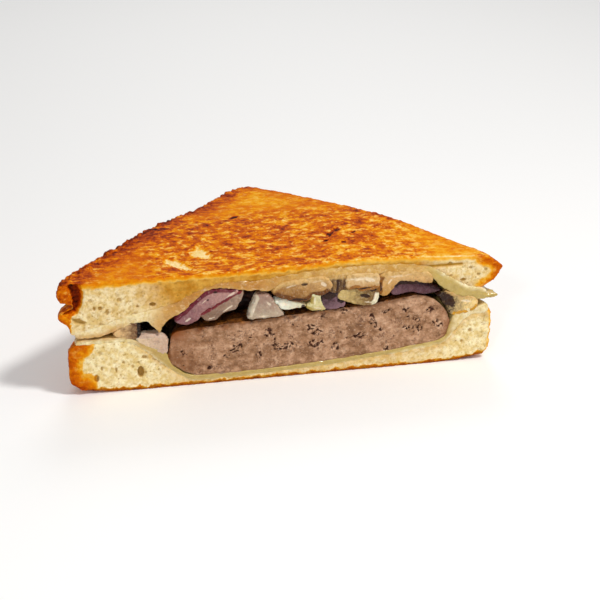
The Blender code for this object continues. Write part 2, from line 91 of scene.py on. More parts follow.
# Undersides of the upper cheese and of the upper slice at the cut, as (x, z).
CHEESE_CEILING = (
    (-88, 24.2), (-73, 24.4), (-61, 28.3), (-53, 29.2), (-48, 29.3), (-42, 31.2), (-36.5, 35.6),
    (-31, 39.6), (-23, 39.9), (-17, 38.6), (-11, 38.0), (-7, 37.6), (-3.5, 40.4), (3, 41.8), (12, 42.4),
    (32, 42.4), (46, 41.8), (55, 41.0), (58, 39.6), (60.5, 36.6), (63, 33.8), (66, 31.4), (69, 29.7),
    (72, 28.5), (76.5, 27.8), (79.5, 25.9), (84, 25.2), (88, 25.4),
)
SLICE_CEILING = (
    (-88, 25.8), (-78, 26.8), (-66, 30.2), (-52, 33.4), (-42, 35.8), (-35, 39.4), (-28, 41.6), (-10, 41.8),
    (0, 43.0), (20, 44.3), (32, 44.3), (52, 43.0), (60, 40.8), (67, 36.6), (74, 32.4), (80, 31.2),
    (88, 31.2),
)
# How far the upper slice's left end stands out, from its foot (0) to its top (1).
LEFT_CRUMPLE = (
    (0.0, 0.0), (0.2, 1.4), (0.38, 4.6), (0.48, 1.8), (0.56, -2.6), (0.64, 2.6), (0.78, 4.8), (0.93, 3.8),
    (1.0, 0.4),
)

# Steps of the net of points that the layers are drawn on.
PATTY_RINGS = np.linspace(0.0, 1.0, 37)[1:]
OUTER_RINGS = np.linspace(0.0, 1.0, 13)[1:]
PATTY_FLAT_RINGS = 26
INSIDE_OUTLINE = 5.0
NEAREST_RING = 0.93
RINGS_BACK = 4
BULGE_POWER = 6.0
LEG_STEPS = 60
TIP_STEPS = 10
APEX_STEPS = 12
# The CAD's count of points along the outline, at the ends of its arcs and legs.
CAD_COUNTS = (0, 3, 17, 21, 35, 38)

ALL_RINGS = len(PATTY_RINGS) + len(OUTER_RINGS)

# Grain of the meshes, and how far behind the cut bread and meat have it halved.
VOXEL = 0.66
CHEESE_VOXEL = 0.6
PIECE_VOXEL = 0.28
HEAP_VOXEL = 0.8
# How many times each mesh's edges are softened.
SOFTENED = 4
CHEESE_SOFTENED = 2
PIECE_SOFTENED = 2
HEAP_SOFTENED = 3
FINE_BEHIND_CUT = 1.4
# Rows of faces between each layer's lower and upper side.
TOP_ROWS = 36
BOTTOM_ROWS = 32
CHEESE_ROWS = 8
PATTY_ROWS = 40


# Curves and surfaces

def smooth(start, end, value):
    """0 before start, 1 after end, and an S-shaped rise between them."""
    t = np.clip((value - start) / (end - start), 0.0, 1.0)
    return t * t * (3.0 - 2.0 * t)


def fall(start, end, value):
    """1 before start, 0 after end, and the same shape between them."""
    return 1.0 - smooth(start, end, value)


def bump(value, centre, width):
    """1 at centre, falling to almost nothing two widths away."""
    return np.exp(-(((value - centre) / width) ** 2))


def most(*values):
    """The greatest of the values at each point."""
    return functools.reduce(np.maximum, values)


def curve_through(points, value):
    """The height at value of the smooth curve through points, level beyond both ends."""
    px, pz = np.array(points, float).T
    slope = np.gradient(pz, px)
    value = np.clip(value, px[0], px[-1])
    i = np.clip(np.searchsorted(px, value) - 1, 0, len(px) - 2)
    width = px[i + 1] - px[i]
    t = (value - px[i]) / width
    rising = t * t * (3.0 - 2.0 * t)
    bend = t * (1.0 - t) * ((1.0 - t) * slope[i] - t * slope[i + 1]) * width
    return pz[i] * (1.0 - rising) + pz[i + 1] * rising + bend


def patty_reach(x, y):
    return np.sqrt(np.maximum((x - PATTY_X) ** 2 + y * y - 2.0 * PATTY_Y * y, 0.0))


def swept(profile, x, y):
    """A height that is profile(x) on the cut, carried round the patty's axis behind it."""
    reach = patty_reach(x, y)
    right_share = 0.5 + 0.5 * (x - PATTY_X) / np.maximum(reach, 1e-6)
    return right_share * profile(PATTY_X + reach) + (1.0 - right_share) * profile(PATTY_X - reach)


def floor_profile(x):
    pressed = 2.4 + 0.00072 * (x + 28.0) ** 2
    left = smooth(36.0, 66.0, -x)
    right = smooth(63.0, 77.5, x)
    return pressed * (1.0 - left) * (1.0 - right) + LEFT_SLICE_TOP * left + RIGHT_SLICE_TOP * right


def cheese_floor_profile(x):
    thickness = CHEESE_UNDER_PATTY + 1.4 * bump(x, -52.0, 5.5) + 2.4 * smooth(77.0, 81.0, x)
    return floor_profile(x) + thickness


def patty_top_profile(x):
    return 27.0 + 0.058 * (x - PATTY_X) + bump(x, 52.0, 10.0)


def rise(y):
    return TOP_RISE * smooth(0.0, 45.0, y)


def inner_rise(x, y):
    return rise(y) * fall(46.0, 66.0, patty_reach(x, y))


def underside(x, y):
    return TIP_CURL * smooth(64.0, 88.0, np.abs(x)) + 0.6 * TIP_CURL * smooth(66.0, 86.0, y)


def floor(x, y):
    return swept(floor_profile, x, y)


def cheese_underside(x, y):
    return floor(x, y) - SUNK


def cheese_floor(x, y):
    return swept(cheese_floor_profile, x, y)


def patty_underside(x, y):
    return cheese_floor(x, y) - SUNK


def cheese_fill(x, y):
    """The lower cheese with the part of it that has run up against the patty's ends."""
    reach = patty_reach(x, y)
    right = 5.6 * smooth(55.6, 58.4, reach) * fall(59.5, 68.0, reach) * smooth(0.0, 30.0, x)
    left = 3.4 * smooth(55.6, 58.0, reach) * fall(58.5, 64.0, reach) * smooth(0.0, 30.0, -x)
    return cheese_floor(x, y) + right + left


def patty_top(x, y):
    return swept(patty_top_profile, x, y)


def from_leg(x, y):
    """How far a point is from the nearer of the slice's two straight legs."""
    return (HALF_DIAGONAL - np.abs(x) - y) / math.sqrt(2.0)


def cheese_ceiling(x, y):
    level = swept(lambda v: curve_through(CHEESE_CEILING, v), x, y) + inner_rise(x, y)
    over_patty = fall(38.0, 54.0, patty_reach(x, y))
    drip = 7.6 * bump(x, -51.2, 1.5) + 1.8 * bump(x, -48.7, 2.2)
    level = level - 5.5 * over_patty * smooth(9.0, 15.0, y) - drip * fall(0.0, 4.0, y)
    level = level - 1.2 * smooth(-8.0, -3.0, x) * fall(55.0, 59.0, x) * fall(3.0, 8.0, y)
    sealed = fall(3.5, 8.5, from_leg(x, y)) * smooth(6.5, 12.0, y)
    return level * (1.0 - sealed) + cheese_floor(x, y) * sealed


def slice_ceiling(x, y):
    return swept(lambda v: curve_through(SLICE_CEILING, v), x, y) + inner_rise(x, y)


def top_side(x, y):
    level = TOP_LEVEL + 0.9 * bump(x, 25.0, 20.0) - 1.6 * smooth(45.0, 82.0, x) + rise(y)
    level = level + 0.9 * smooth(10.0, 60.0, -x) * smooth(10.0, 40.0, y)
    return level - 2.6 * smooth(78.0, 90.0, np.abs(x))


def crust_depth(x, y):
    """How far inside the slice's outline a point lies."""
    legs = from_leg(x, y)
    tip = CUT_CORNER_RADIUS - np.hypot(np.abs(x) - CUT_CORNER_X, y)
    apex = FAR_CORNER_RADIUS - np.hypot(x, y - FAR_CORNER_Y)
    depth = np.where(np.abs(x) - CUT_CORNER_X > y, tip, legs)
    return np.where(y - FAR_CORNER_Y > np.abs(x), apex, depth)


# Noise

def mixed_bits(ix, iy, iz, seed):
    """Well mixed bits for each cell, always the same for the same cell and seed."""
    h = ix.astype(np.int64).astype(np.uint32) * np.uint32(0x8DA6B343)
    h ^= iy.astype(np.int64).astype(np.uint32) * np.uint32(0xD8163841)
    h ^= iz.astype(np.int64).astype(np.uint32) * np.uint32(0xCB1AB31F)
    h ^= np.uint32((seed * 0x9E3779B1) & 0xFFFFFFFF)
    for shift, factor in ((15, 0x2C1B3C6D), (12, 0x297A2D39)):
        h ^= h >> np.uint32(shift)
        h *= np.uint32(factor)
    return h ^ (h >> np.uint32(15))


def three_of(bits):
    """Three numbers from -1 to 1 out of each value's bits."""
    return [((bits >> np.uint32(10 * k)) & np.uint32(1023)).astype(float) / 511.5 - 1.0 for k in range(3)]


def noise(points, size, seed):
    """Gradient noise, about -1 to 1, with lumps about size across."""
    q = points / size
    cell = np.floor(q)
    f = q - cell
    u = f * f * f * (f * (6.0 * f - 15.0) + 10.0)
    total = np.zeros(len(q))
    for dx, dy, dz in itertools.product((0, 1), repeat=3):
        gx, gy, gz = three_of(mixed_bits(*(cell + (dx, dy, dz)).T, seed))
        dot = gx * (f[:, 0] - dx) + gy * (f[:, 1] - dy) + gz * (f[:, 2] - dz)
        weight = (u[:, 0] if dx else 1 - u[:, 0]) * (u[:, 1] if dy else 1 - u[:, 1])
        total += dot * weight * (u[:, 2] if dz else 1 - u[:, 2])
    return total * 1.4


def fractal(points, size, seed, octaves=4):
    """Noise with finer and weaker noise on it, an octave at a time."""
    return sum(0.5**k * noise(points, size / 2.0**k, seed + 17 * k) for k in range(octaves))


def pores(points, size, seed, small, large, share=1.0):
    """Round hollows scattered one to a cell: 0 outside them, up to 1 at a hollow's middle."""
    q = points / size
    cell = np.floor(q)
    deepest = np.zeros(len(q))
    for step in itertools.product((-1, 0, 1), repeat=3):
        there = cell + step
        off_centre = np.column_stack(three_of(mixed_bits(*there.T, seed)))
        other = mixed_bits(*there.T, seed + 991)
        pick = (other & np.uint32(1023)) / 1023.0
        radius = small + (large - small) * ((other >> np.uint32(10)) & np.uint32(1023)) / 1023.0
        gap = ((points - (there + 0.5 + 0.42 * off_centre) * size) ** 2).sum(axis=1)
        depth = np.clip(1.0 - gap / radius**2, 0.0, 1.0)
        deepest = np.maximum(deepest, np.where(pick < share, depth, 0.0))
    return deepest


# Meshes

def link(name, data):
    made = bpy.data.objects.new(name, data)
    bpy.context.scene.collection.objects.link(made)
    return made


def values_of(obj, kind):
    flat = np.empty(len(obj.data.vertices) * 3, np.float32)
    obj.data.vertices.foreach_get(kind, flat)
    return flat.reshape(-1, 3).astype(float)


def points_of(obj):
    return values_of(obj, "co") / MM + FRAME_ORIGIN


def surface(obj):
    """The mesh's points in the frame of the cut, and its normals."""
    return points_of(obj), values_of(obj, "normal")


def move_points(obj, points):
    flat = ((points - FRAME_ORIGIN) * MM).astype(np.float32).ravel()
    obj.data.vertices.foreach_set("co", flat)
    obj.data.update()


def paint(obj, **layers):
    """Stores numbers on the mesh's points for the material to read."""
    for name, values in layers.items():
        layer = obj.data.attributes.new(name, "FLOAT", "POINT")
        layer.data.foreach_set("value", np.asarray(values, np.float32))


class Shell:
    """Points and faces of one closed surface."""

    def __init__(self):
        self.blocks = []
        self.count = 0
        self.faces = []

    def add(self, points):
        points = np.asarray(points, float)
        self.blocks.append(points.reshape(-1, 3))
        numbers = self.count + np.arange(points.size // 3).reshape(points.shape[:-1])
        self.count += points.size // 3
        return numbers

    def points(self):
        return np.concatenate(self.blocks)

    def cover(self, grid):
        a, b, c, d = grid[:-1, :-1], grid[:-1, 1:], grid[1:, 1:], grid[1:, :-1]
        for corners in ((a, b, c), (a, c, d)):
            faces = np.stack(corners, axis=-1).reshape(-1, 3)
            whole = (faces[:, 0] != faces[:, 1]) & (faces[:, 1] != faces[:, 2]) & (faces[:, 0] != faces[:, 2])
            self.faces.append(faces[whole])

    def build(self, name):
        mesh = bpy.data.meshes.new(name)
        place = (self.points() - FRAME_ORIGIN) * MM
        mesh.from_pydata(place.tolist(), [], np.concatenate(self.faces).tolist())
        work = bmesh.new()
        work.from_mesh(mesh)
        bmesh.ops.recalc_face_normals(work, faces=work.faces)
        if work.calc_volume(signed=True) < 0.0:
            bmesh.ops.reverse_faces(work, faces=work.faces)
        work.to_mesh(mesh)
        work.free()
        return link(name, mesh)


def remeshed(obj, voxel, softened):
    """Replaces the mesh by an even one of that grain, its edges softened."""
    remesh = obj.modifiers.new("Remesh", "REMESH")
    remesh.mode = "VOXEL"
    remesh.voxel_size = voxel * MM
    remesh.use_smooth_shade = True
    soften = obj.modifiers.new("Soften", "SMOOTH")
    soften.factor = 0.5
    soften.iterations = softened
    graph = bpy.context.evaluated_depsgraph_get()
    mesh = bpy.data.meshes.new_from_object(obj.evaluated_get(graph))
    old = obj.data
    obj.modifiers.clear()
    obj.data = mesh
    bpy.data.meshes.remove(old)


def refined(obj):
    """Halves the edges near the cut."""
    picked = points_of(obj)[:, 1] < FINE_BEHIND_CUT
    work = bmesh.new()
    work.from_mesh(obj.data)
    work.verts.ensure_lookup_table()
    edges = [e for e in work.edges if picked[e.verts[0].index] and picked[e.verts[1].index]]
    bmesh.ops.subdivide_edges(work, edges=edges, cuts=1, use_grid_fill=True)
    work.to_mesh(obj.data)
    work.free()
    obj.data.shade_smooth()


def outline():
    """The slice's outline from the left end of the cut round to the right end, as (x, y)."""
    points = []
    for start, end, steps, x, y, radius in (
        (180.0, 135.0, TIP_STEPS, -CUT_CORNER_X, 0.0, CUT_CORNER_RADIUS),
        (135.0, 45.0, APEX_STEPS, 0.0, FAR_CORNER_Y, FAR_CORNER_RADIUS),
        (45.0, 0.0, TIP_STEPS, CUT_CORNER_X, 0.0, CUT_CORNER_RADIUS),
    ):
        turn = np.radians(np.linspace(start, end, steps + 1))
        arc = np.column_stack([x + radius * np.cos(turn), y + radius * np.sin(turn)])
        if points:
            points.extend(np.linspace(points[-1], arc[0], LEG_STEPS + 1)[1:-1])
        points.extend(arc)
    return np.array(points)


class Net:
    """Directions from the middle of the patty's cut, and distances to its edge and the bread's outline."""

    def __init__(self):
        reach = outline() - (PATTY_X, 0.0)
        self.bread = np.hypot(reach[:, 0], reach[:, 1])
        self.way = reach / self.bread[:, None]
        sine = self.way[:, 1]
        self.patty = PATTY_Y * sine + np.sqrt((PATTY_Y * sine) ** 2 + PATTY_HALF_CHORD**2)
        self.inside = self.bread - INSIDE_OUTLINE
        self.knee = np.minimum(self.patty, self.inside * NEAREST_RING)
        self.right_share = 0.5 + 0.5 * self.way[:, 0]
        # The CAD counts along the outline in its own, coarser steps.
        cad = []
        own_steps = (TIP_STEPS, LEG_STEPS, APEX_STEPS, LEG_STEPS, TIP_STEPS)
        for steps, first, last in zip(own_steps, CAD_COUNTS, CAD_COUNTS[1:]):
            cad.extend(np.linspace(first, last, steps + 1)[:-1])
        self.along = np.array(cad + [CAD_COUNTS[-1]]) / CAD_COUNTS[-1]

    def ring(self, number):
        if number <= len(PATTY_RINGS):
            return self.knee * PATTY_RINGS[number - 1]
        return self.knee + (self.inside - self.knee) * OUTER_RINGS[number - 1 - len(PATTY_RINGS)]

    def at(self, distance):
        return np.array([PATTY_X, 0.0]) + self.way * np.asarray(distance)[..., None]


def slab(net, low, high, wall, rows, free=None, rim=None, rings=ALL_RINGS):
    """The closed surface between two heights, out to rim plus wall. The free one is known past the rings."""
    rim = net.bread if rim is None else rim
    shell = Shell()
    steps = np.linspace(0.0, 1.0, rows + 1)
    walls = [wall(t, net) for t in steps]

    def side(height, out):
        middle = shell.add([[PATTY_X, 0.0, float(height(np.array([PATTY_X]), np.array([0.0]))[0])]])
        grid = [np.repeat(middle, len(net.bread))]
        levels = []
        for k in range(1, rings + 1):
            place = net.at(net.ring(k))
            levels.append(height(place[:, 0], place[:, 1]))
            grid.append(shell.add(np.column_stack([place, levels[-1]])))
        place = net.at(rim + out)
        if height is free:
            last = height(place[:, 0], place[:, 1])
        else:
            run = net.ring(rings) - net.ring(rings - RINGS_BACK)
            slope = (levels[-1] - levels[-1 - RINGS_BACK]) / run
            last = levels[-1] + slope * (rim + out - net.ring(rings))
        grid.append(shell.add(np.column_stack([place, last])))
        return np.array(grid)

    bottom = side(low, walls[0][0])
    top = side(high, walls[-1][0])
    points = shell.points()
    foot, head = points[bottom[-1]], points[top[-1]]
    edge = [bottom[-1]]
    for out, share in walls[1:-1]:
        level = foot[:, 2] + share * (head[:, 2] - foot[:, 2])
        edge.append(shell.add(np.column_stack([net.at(rim + out), level])))
    edge.append(top[-1])
    edge = np.array(edge)
    for grid in (top, bottom, edge):
        shell.cover(grid)
    columns = []
    points = shell.points()
    for end in (0, -1):
        straight = points[edge[0, end]] + steps[:, None] * (points[edge[-1, end]] - points[edge[0, end]])
        bulge = points[edge[:, end]] - straight
        run = [edge[:, end]]
        for k in range(rings, 0, -1):
            a, b = points[bottom[k, end]], points[top[k, end]]
            fade = (k / (rings + 1.0)) ** BULGE_POWER
            between = a + steps[1:-1, None] * (b - a) + fade * bulge[1:-1]
            run.append(np.concatenate([[bottom[k, end]], shell.add(between), [top[k, end]]]))
        columns.append(run)
    a, b = points[bottom[0, 0]], points[top[0, 0]]
    middle = np.concatenate([[bottom[0, 0]], shell.add(a + steps[1:-1, None] * (b - a)), [top[0, 0]]])
    shell.cover(np.array(columns[0] + [middle] + columns[1][::-1]))
    return shell


def bread_bottom_wall(t, net):
    """How far the wall stands out at share t of the way up, and the share of the height it has there."""
    left = fall(0.04, 0.2, net.along)
    right = smooth(0.86, 0.97, net.along)
    out = 1.3 * (1.0 - (2.0 * t - 1.0) ** 2) - 2.2 * fall(0.0, 0.2, t) - 0.8 * smooth(0.85, 1.0, t)
    belly = np.sin(math.pi * t)
    out = out + left * (2.4 * belly - 0.6 * smooth(0.8, 1.0, t)) - 1.4 * right * belly
    return out + 0.5 * np.sin(19.0 * net.along + 2.0 * t), t


def bread_top_wall(t, net):
    left = fall(0.03, 0.24, net.along)
    right = smooth(0.84, 0.98, net.along)
    out = 1.5 * (1.0 - (2.0 * t - 1.0) ** 2) - 1.8 * smooth(0.86, 1.0, t) - 1.0 * fall(0.0, 0.15, t)
    out = out * (1.0 - left) + left * curve_through(LEFT_CRUMPLE, t)
    out = out + 2.4 * right * (bump(t, 0.52, 0.3) - smooth(0.8, 1.0, t) - 1.0 + smooth(0.0, 0.3, t))
    return out + 0.5 * np.sin(23.0 * net.along + 3.0 * t), t


def cheese_wall(lip):
    def wall(t, net):
        flow = 1.1 * np.sin(31.0 * net.along + 0.6) + 0.8 * np.sin(53.0 * net.along + 2.0)
        ends = smooth(0.0, 0.05, net.along) * fall(0.95, 1.0, net.along)
        out = -1.0 + flow * ends + lip * smooth(0.9, 0.985, net.along)
        return out - 1.1 * (2.0 * t - 1.0) ** 2, t

    return wall


def patty_wall(t, net):
    right = net.right_share
    belly = 0.43 - 0.11 * right
    turn = math.pi * (t - 0.5)
    power = (1.4 + 0.6 * right) if t < 0.5 else (2.5 - 0.5 * right)
    in_share = 1.0 - np.power(np.full_like(right, max(math.cos(turn), 0.0)), 2.0 / power)
    up = np.power(np.full_like(right, abs(math.sin(turn))), 2.0 / power)
    share = belly * (1.0 - up) if t < 0.5 else belly + (1.0 - belly) * up
    rough = 0.5 * np.sin(37.0 * net.along + 5.0 * t) * math.cos(turn)
    inset = net.patty * (1.0 - PATTY_RINGS[PATTY_FLAT_RINGS])
    return rough - inset * in_share, share


# Materials

def colour(r, g, b):
    """A linear colour from the 0 to 255 values that a screen shows."""
    def linear(v):
        v /= 255.0
        return v / 12.92 if v <= 0.04045 else ((v + 0.055) / 1.055) ** 2.4
    return (linear(r), linear(g), linear(b), 1.0)


# Where the mix node has its two colours and its result.
MIX_A = 6
MIX_B = 7
MIX_RESULT = 2
FOOD_IOR = 1.45


class Look:
    """A node material, built up one call at a time. Sizes are in millimetres."""

    def __init__(self, name):
        self.material = bpy.data.materials.new(name)
        self.material.use_nodes = True
        self.tree = self.material.node_tree
        self.place = self.tree.nodes.new("ShaderNodeTexCoord").outputs["Object"]

    def node(self, kind, **inputs):
        made = self.tree.nodes.new("ShaderNode" + kind)
        for name, value in inputs.items():
            self.feed(made.inputs[name.replace("_", " ")], value)
        return made

    def feed(self, socket, value):
        if isinstance(value, bpy.types.NodeSocket):
            self.tree.links.new(value, socket)
        else:
            socket.default_value = value

    def stretched(self, x, y=1.0, z=1.0):
        made = self.node("Mapping", Vector=self.place)
        made.inputs["Scale"].default_value = (x, y, z)
        return made.outputs["Vector"]

    def noise(self, size, detail=3.0, rough=0.5, warp=0.0, place=None):
        made = self.node("TexNoise", Vector=place or self.place, Scale=1.0 / (size * MM), Detail=detail)
        made.inputs["Roughness"].default_value = rough
        made.inputs["Distortion"].default_value = warp
        return made.outputs["Fac"]

    def cells(self, size):
        return self.node("TexVoronoi", Vector=self.place, Scale=1.0 / (size * MM)).outputs["Distance"]

    def layer(self, name):
        made = self.node("Attribute")
        made.attribute_name = name
        return made.outputs["Fac"]

    def math(self, operation, a, b):
        made = self.node("Math")
        made.operation = operation
        self.feed(made.inputs[0], a)
        self.feed(made.inputs[1], b)
        return made.outputs[0]

    def plus(self, a, b):
        return self.math("ADD", a, b)

    def times(self, a, b):
        return self.math("MULTIPLY", a, b)

    def around(self, value, amount):
        """A noise, which is about a half, as a change up and down by that amount."""
        return self.times(self.math("SUBTRACT", value, 0.5), amount)

    def span(self, value, low, high, to_low=0.0, to_high=1.0):
        made = self.node("MapRange", Value=value, From_Min=low, From_Max=high, To_Min=to_low, To_Max=to_high)
        return made.outputs["Result"]

    def ramp(self, value, *stops):
        made = self.node("ValToRGB", Fac=value)
        ramp = made.color_ramp
        while len(ramp.elements) < len(stops):
            ramp.elements.new(1.0)
        for element, (position, tone) in zip(ramp.elements, stops):
            element.position = position
            element.color = colour(*tone)
        return made.outputs["Color"]

    def mix(self, a, b, share):
        made = self.node("Mix")
        made.data_type = "RGBA"
        self.feed(made.inputs["Factor"], share)
        self.feed(made.inputs[MIX_A], colour(*a) if isinstance(a, tuple) else a)
        self.feed(made.inputs[MIX_B], colour(*b) if isinstance(b, tuple) else b)
        return made.outputs[MIX_RESULT]

    def over(self, tint, tone, value, low=0.0, high=1.0, share=1.0):
        """The tint with a tone laid over it: none of it where value is low, that share where it is high."""
        return self.mix(tint, tone, self.span(value, low, high, 0.0, share))

    def bump(self, height, depth, strength, below=None):
        made = self.node("Bump", Height=height, Distance=depth * MM, Strength=strength)
        if below is not None:
            self.feed(made.inputs["Normal"], below)
        return made.outputs["Normal"]

    def finish(self, tint, rough, normal=None, sss=0.0, radius=(1.0, 0.6, 0.3), depth=1.0, coat=0.0,
               coat_rough=0.15, specular=0.5):
        inputs = self.tree.nodes["Principled BSDF"].inputs
        self.feed(inputs["Base Color"], tint)
        self.feed(inputs["Roughness"], rough)
        if normal is not None:
            self.feed(inputs["Normal"], normal)
        inputs["Subsurface Weight"].default_value = sss
        inputs["Subsurface Radius"].default_value = radius
        inputs["Subsurface Scale"].default_value = depth * MM
        inputs["Coat Weight"].default_value = coat
        inputs["Coat Roughness"].default_value = coat_rough
        inputs["IOR"].default_value = FOOD_IOR
        inputs["Specular IOR Level"].default_value = specular
        return self.material


def crumb_tint(look):
    tint = look.mix((255, 241, 198), (232, 205, 140), look.span(look.noise(3.2, 3.0, 0.6), 0.38, 0.62))
    return look.over(tint, (206, 174, 98), look.noise(0.9, 2.0), 0.52, 0.72, 0.55)


def bread_look():
    """Toasted outside, cream crumb inside, greasy where the cheese soaks in, with painted shade in the
    crumb's hollows.
    """
    look = Look("toasted_bread")
    toast, soak, pore, grain = (look.layer(name) for name in ("toast", "soak", "pore", "grain"))
    drawn = look.stretched(0.65)
    level = look.around(look.noise(2.6, 3.0, 0.6, 0.3, drawn), 1.5)
    for size in (1.0, 7.0):
        level = look.plus(level, look.around(look.noise(size, 2.0, 0.6), 0.6))
    browned = look.plus(toast, look.times(level, grain))
    crust = look.ramp(
        browned, (0.0, (240, 210, 136)), (0.12, (236, 184, 76)), (0.24, (230, 154, 20)),
        (0.36, (218, 124, 4)), (0.5, (202, 98, 2)), (0.64, (176, 72, 2)), (0.8, (134, 42, 2)),
        (1.0, (54, 10, 4)),
    )
    pale = look.times(look.span(look.noise(2.1, 2.0, 0.55, 0.3, drawn), 0.55, 0.64, 0.0, 0.8), grain)
    crust = look.mix(crust, (243, 192, 92), look.times(pale, look.span(browned, 0.56, 0.4)))
    crust = look.mix(crust, (112, 70, 22), look.times(look.layer("brown"), 0.8))
    amber = look.mix((216, 162, 68), (186, 124, 32), look.span(look.noise(4.5, 3.0, 0.6), 0.38, 0.62))
    crumb = look.over(crumb_tint(look), amber, soak)
    # Painted shade in the crumb's holes, low hollows, crease and pocket.
    crumb = look.over(crumb, (178, 134, 50), pore, 0.05, 0.8, 0.85)
    tint = look.over(crumb, crust, toast, 0.04, 0.16)
    normal = look.bump(look.span(look.cells(1.0), 0.0, 0.5), 0.2, 0.4)
    normal = look.bump(look.noise(0.6, 3.0, 0.7), 0.25, 0.5, normal)
    rough = look.plus(look.span(browned, 0.1, 0.7, 0.8, 0.5), look.times(soak, -0.25))
    return look.finish(tint, rough, normal, sss=0.08, radius=(1.0, 0.7, 0.35), specular=0.04)


def cheese_look(name, pale, deep):
    """Oily and mottled, olive where it shines through, and like crumb where bread soaks it up."""
    look = Look(name)
    tint = look.mix(pale, deep, look.span(look.noise(5.0, 3.0, 0.5, 0.3), 0.38, 0.64))
    tint = look.over(tint, (186, 124, 44), look.layer("amber"), share=0.85)
    curd = look.noise(1.5, 4.0, 0.65, 0.6, look.stretched(0.7))
    tint = look.over(tint, (246, 222, 172), curd, 0.54, 0.7, 0.5)
    tint = look.over(tint, (150, 98, 36), curd, 0.46, 0.3, 0.5)
    tint = look.over(tint, (190, 166, 92), look.layer("green"), share=0.85)
    crumb = look.layer("crumb")
    tint = look.mix(tint, crumb_tint(look), crumb)
    # Painted shade inside the opening left of the patty.
    tint = look.over(tint, (34, 18, 12), look.layer("hollow"), share=0.94)
    normal = look.bump(look.noise(1.8, 3.0, 0.55), 0.4, 0.6)
    normal = look.bump(curd, 0.4, 0.6, normal)
    normal = look.bump(look.times(look.noise(0.6, 3.0, 0.7), crumb), 0.3, 0.7, normal)
    rough = look.plus(look.span(look.noise(2.0), 0.3, 0.7, 0.16, 0.36), look.times(crumb, 0.5))
    return look.finish(tint, rough, normal, sss=0.2, radius=(1.0, 0.75, 0.35), depth=1.6, coat=0.45,
                       coat_rough=0.08, specular=0.3)


def beef_look():
    """Grey-brown grains of mince, dark in the torn hollows and seared at the edge; the dark in the hollows
    and between the grains is partly painted shade.
    """
    look = Look("minced_beef")
    grain = look.noise(1.5, 4.0, 0.65, 0.6, look.stretched(0.6))
    # The tone follows high, lighter on raised chunks and darker between them: partly painted shade, partly
    # the meat's own changes of tone.
    tint = look.ramp(
        look.plus(look.times(look.layer("high"), 0.35), look.times(grain, 0.65)), (0.3, (132, 92, 62)),
        (0.42, (156, 114, 80)), (0.54, (180, 136, 102)), (0.66, (202, 158, 124)), (0.8, (224, 186, 152)),
    )
    flecks = look.noise(0.9, 3.0, 0.65)
    tint = look.over(tint, (112, 72, 52), flecks, 0.56, 0.7, 0.6)
    tint = look.over(tint, (222, 186, 160), flecks, 0.42, 0.3, 0.6)
    crust = look.ramp(
        look.noise(1.8, 4.0, 0.65), (0.3, (36, 18, 8)), (0.46, (84, 46, 18)), (0.58, (126, 74, 26)),
        (0.72, (170, 106, 42)),
    )
    tint = look.over(tint, crust, look.plus(look.layer("sear"), look.around(grain, 1.2)), 0.35, 0.9)
    tint = look.over(tint, (136, 70, 14), look.layer("glaze"), share=0.85)
    # The torn hollows and pores are painted dark: the meat's darker hollows with painted shade in them.
    tears = look.times(look.span(look.noise(1.3, 2.0, 0.65, 1.6), 0.56, 0.6), look.layer("crowd"))
    tears = look.math("MAXIMUM", tears, look.span(look.layer("pore"), 0.1, 0.7))
    tint = look.mix(tint, (72, 26, 14), look.times(tears, 0.9))
    normal = look.bump(look.times(tears, -1.0), 0.5, 0.9)
    normal = look.bump(flecks, 0.35, 0.8, normal)
    normal = look.bump(grain, 0.8, 0.6, normal)
    rough = look.span(grain, 0.35, 0.65, 0.3, 0.58)
    return look.finish(tint, rough, normal, sss=0.06, radius=(1.0, 0.5, 0.35), specular=0.25)


def piece_look(name, low, high, rim, glints=0.3, stripes=None):
    """Onion or mushroom, wet and a little translucent: its tone changes across the piece and at its edge. It
    has painted glints and painted highlights, and dark marks that are partly its own and partly painted
    shade.
    """
    look = Look(name)
    mottle = look.noise(1.8, 4.0, 0.65, 0.8)
    wander = look.around(mottle, 1.2)
    tint = look.mix(low, high, look.span(look.plus(look.layer("across"), wander), 0.15, 0.85))
    if stripes:
        bands = look.noise(1.1, 2.0, place=look.stretched(1.0, 0.1, 0.12))
        tint = look.over(tint, stripes, bands, 0.46, 0.58, 0.85)
    tint = look.over(tint, rim, look.plus(look.layer("rim"), look.times(wander, 0.5)), 0.25, 0.75)
    fine = look.noise(0.8, 3.0, 0.6)
    tint = look.over(tint, (80, 48, 34), fine, 0.58, 0.74, 0.45)
    # Painted glints.
    tint = look.over(tint, (246, 234, 216), fine, 0.42, 0.28, glints)
    # Dark marks: specks and gills, and painted shade under, between and inside pieces.
    tint = look.over(tint, (48, 22, 10), look.plus(look.layer("dark"), wander), 0.3, 0.7, 0.96)
    # Painted highlights.
    tint = look.over(tint, (252, 238, 212), look.plus(look.layer("light"), wander), 0.3, 0.9, 0.55)
    film = look.mix((222, 184, 122), (198, 154, 84), look.span(mottle, 0.4, 0.6))
    tint = look.over(tint, film, look.plus(look.layer("film"), wander), 0.2, 0.8, 0.85)
    normal = look.bump(fine, 0.2, 0.5, look.bump(mottle, 0.45, 0.6))
    return look.finish(tint, look.span(fine, 0.3, 0.7, 0.16, 0.34), normal,
                       sss=0.35 if name.startswith("onion") else 0.15, radius=(1.0, 0.65, 0.45), depth=1.6,
                       coat=0.14, coat_rough=0.05, specular=0.2)


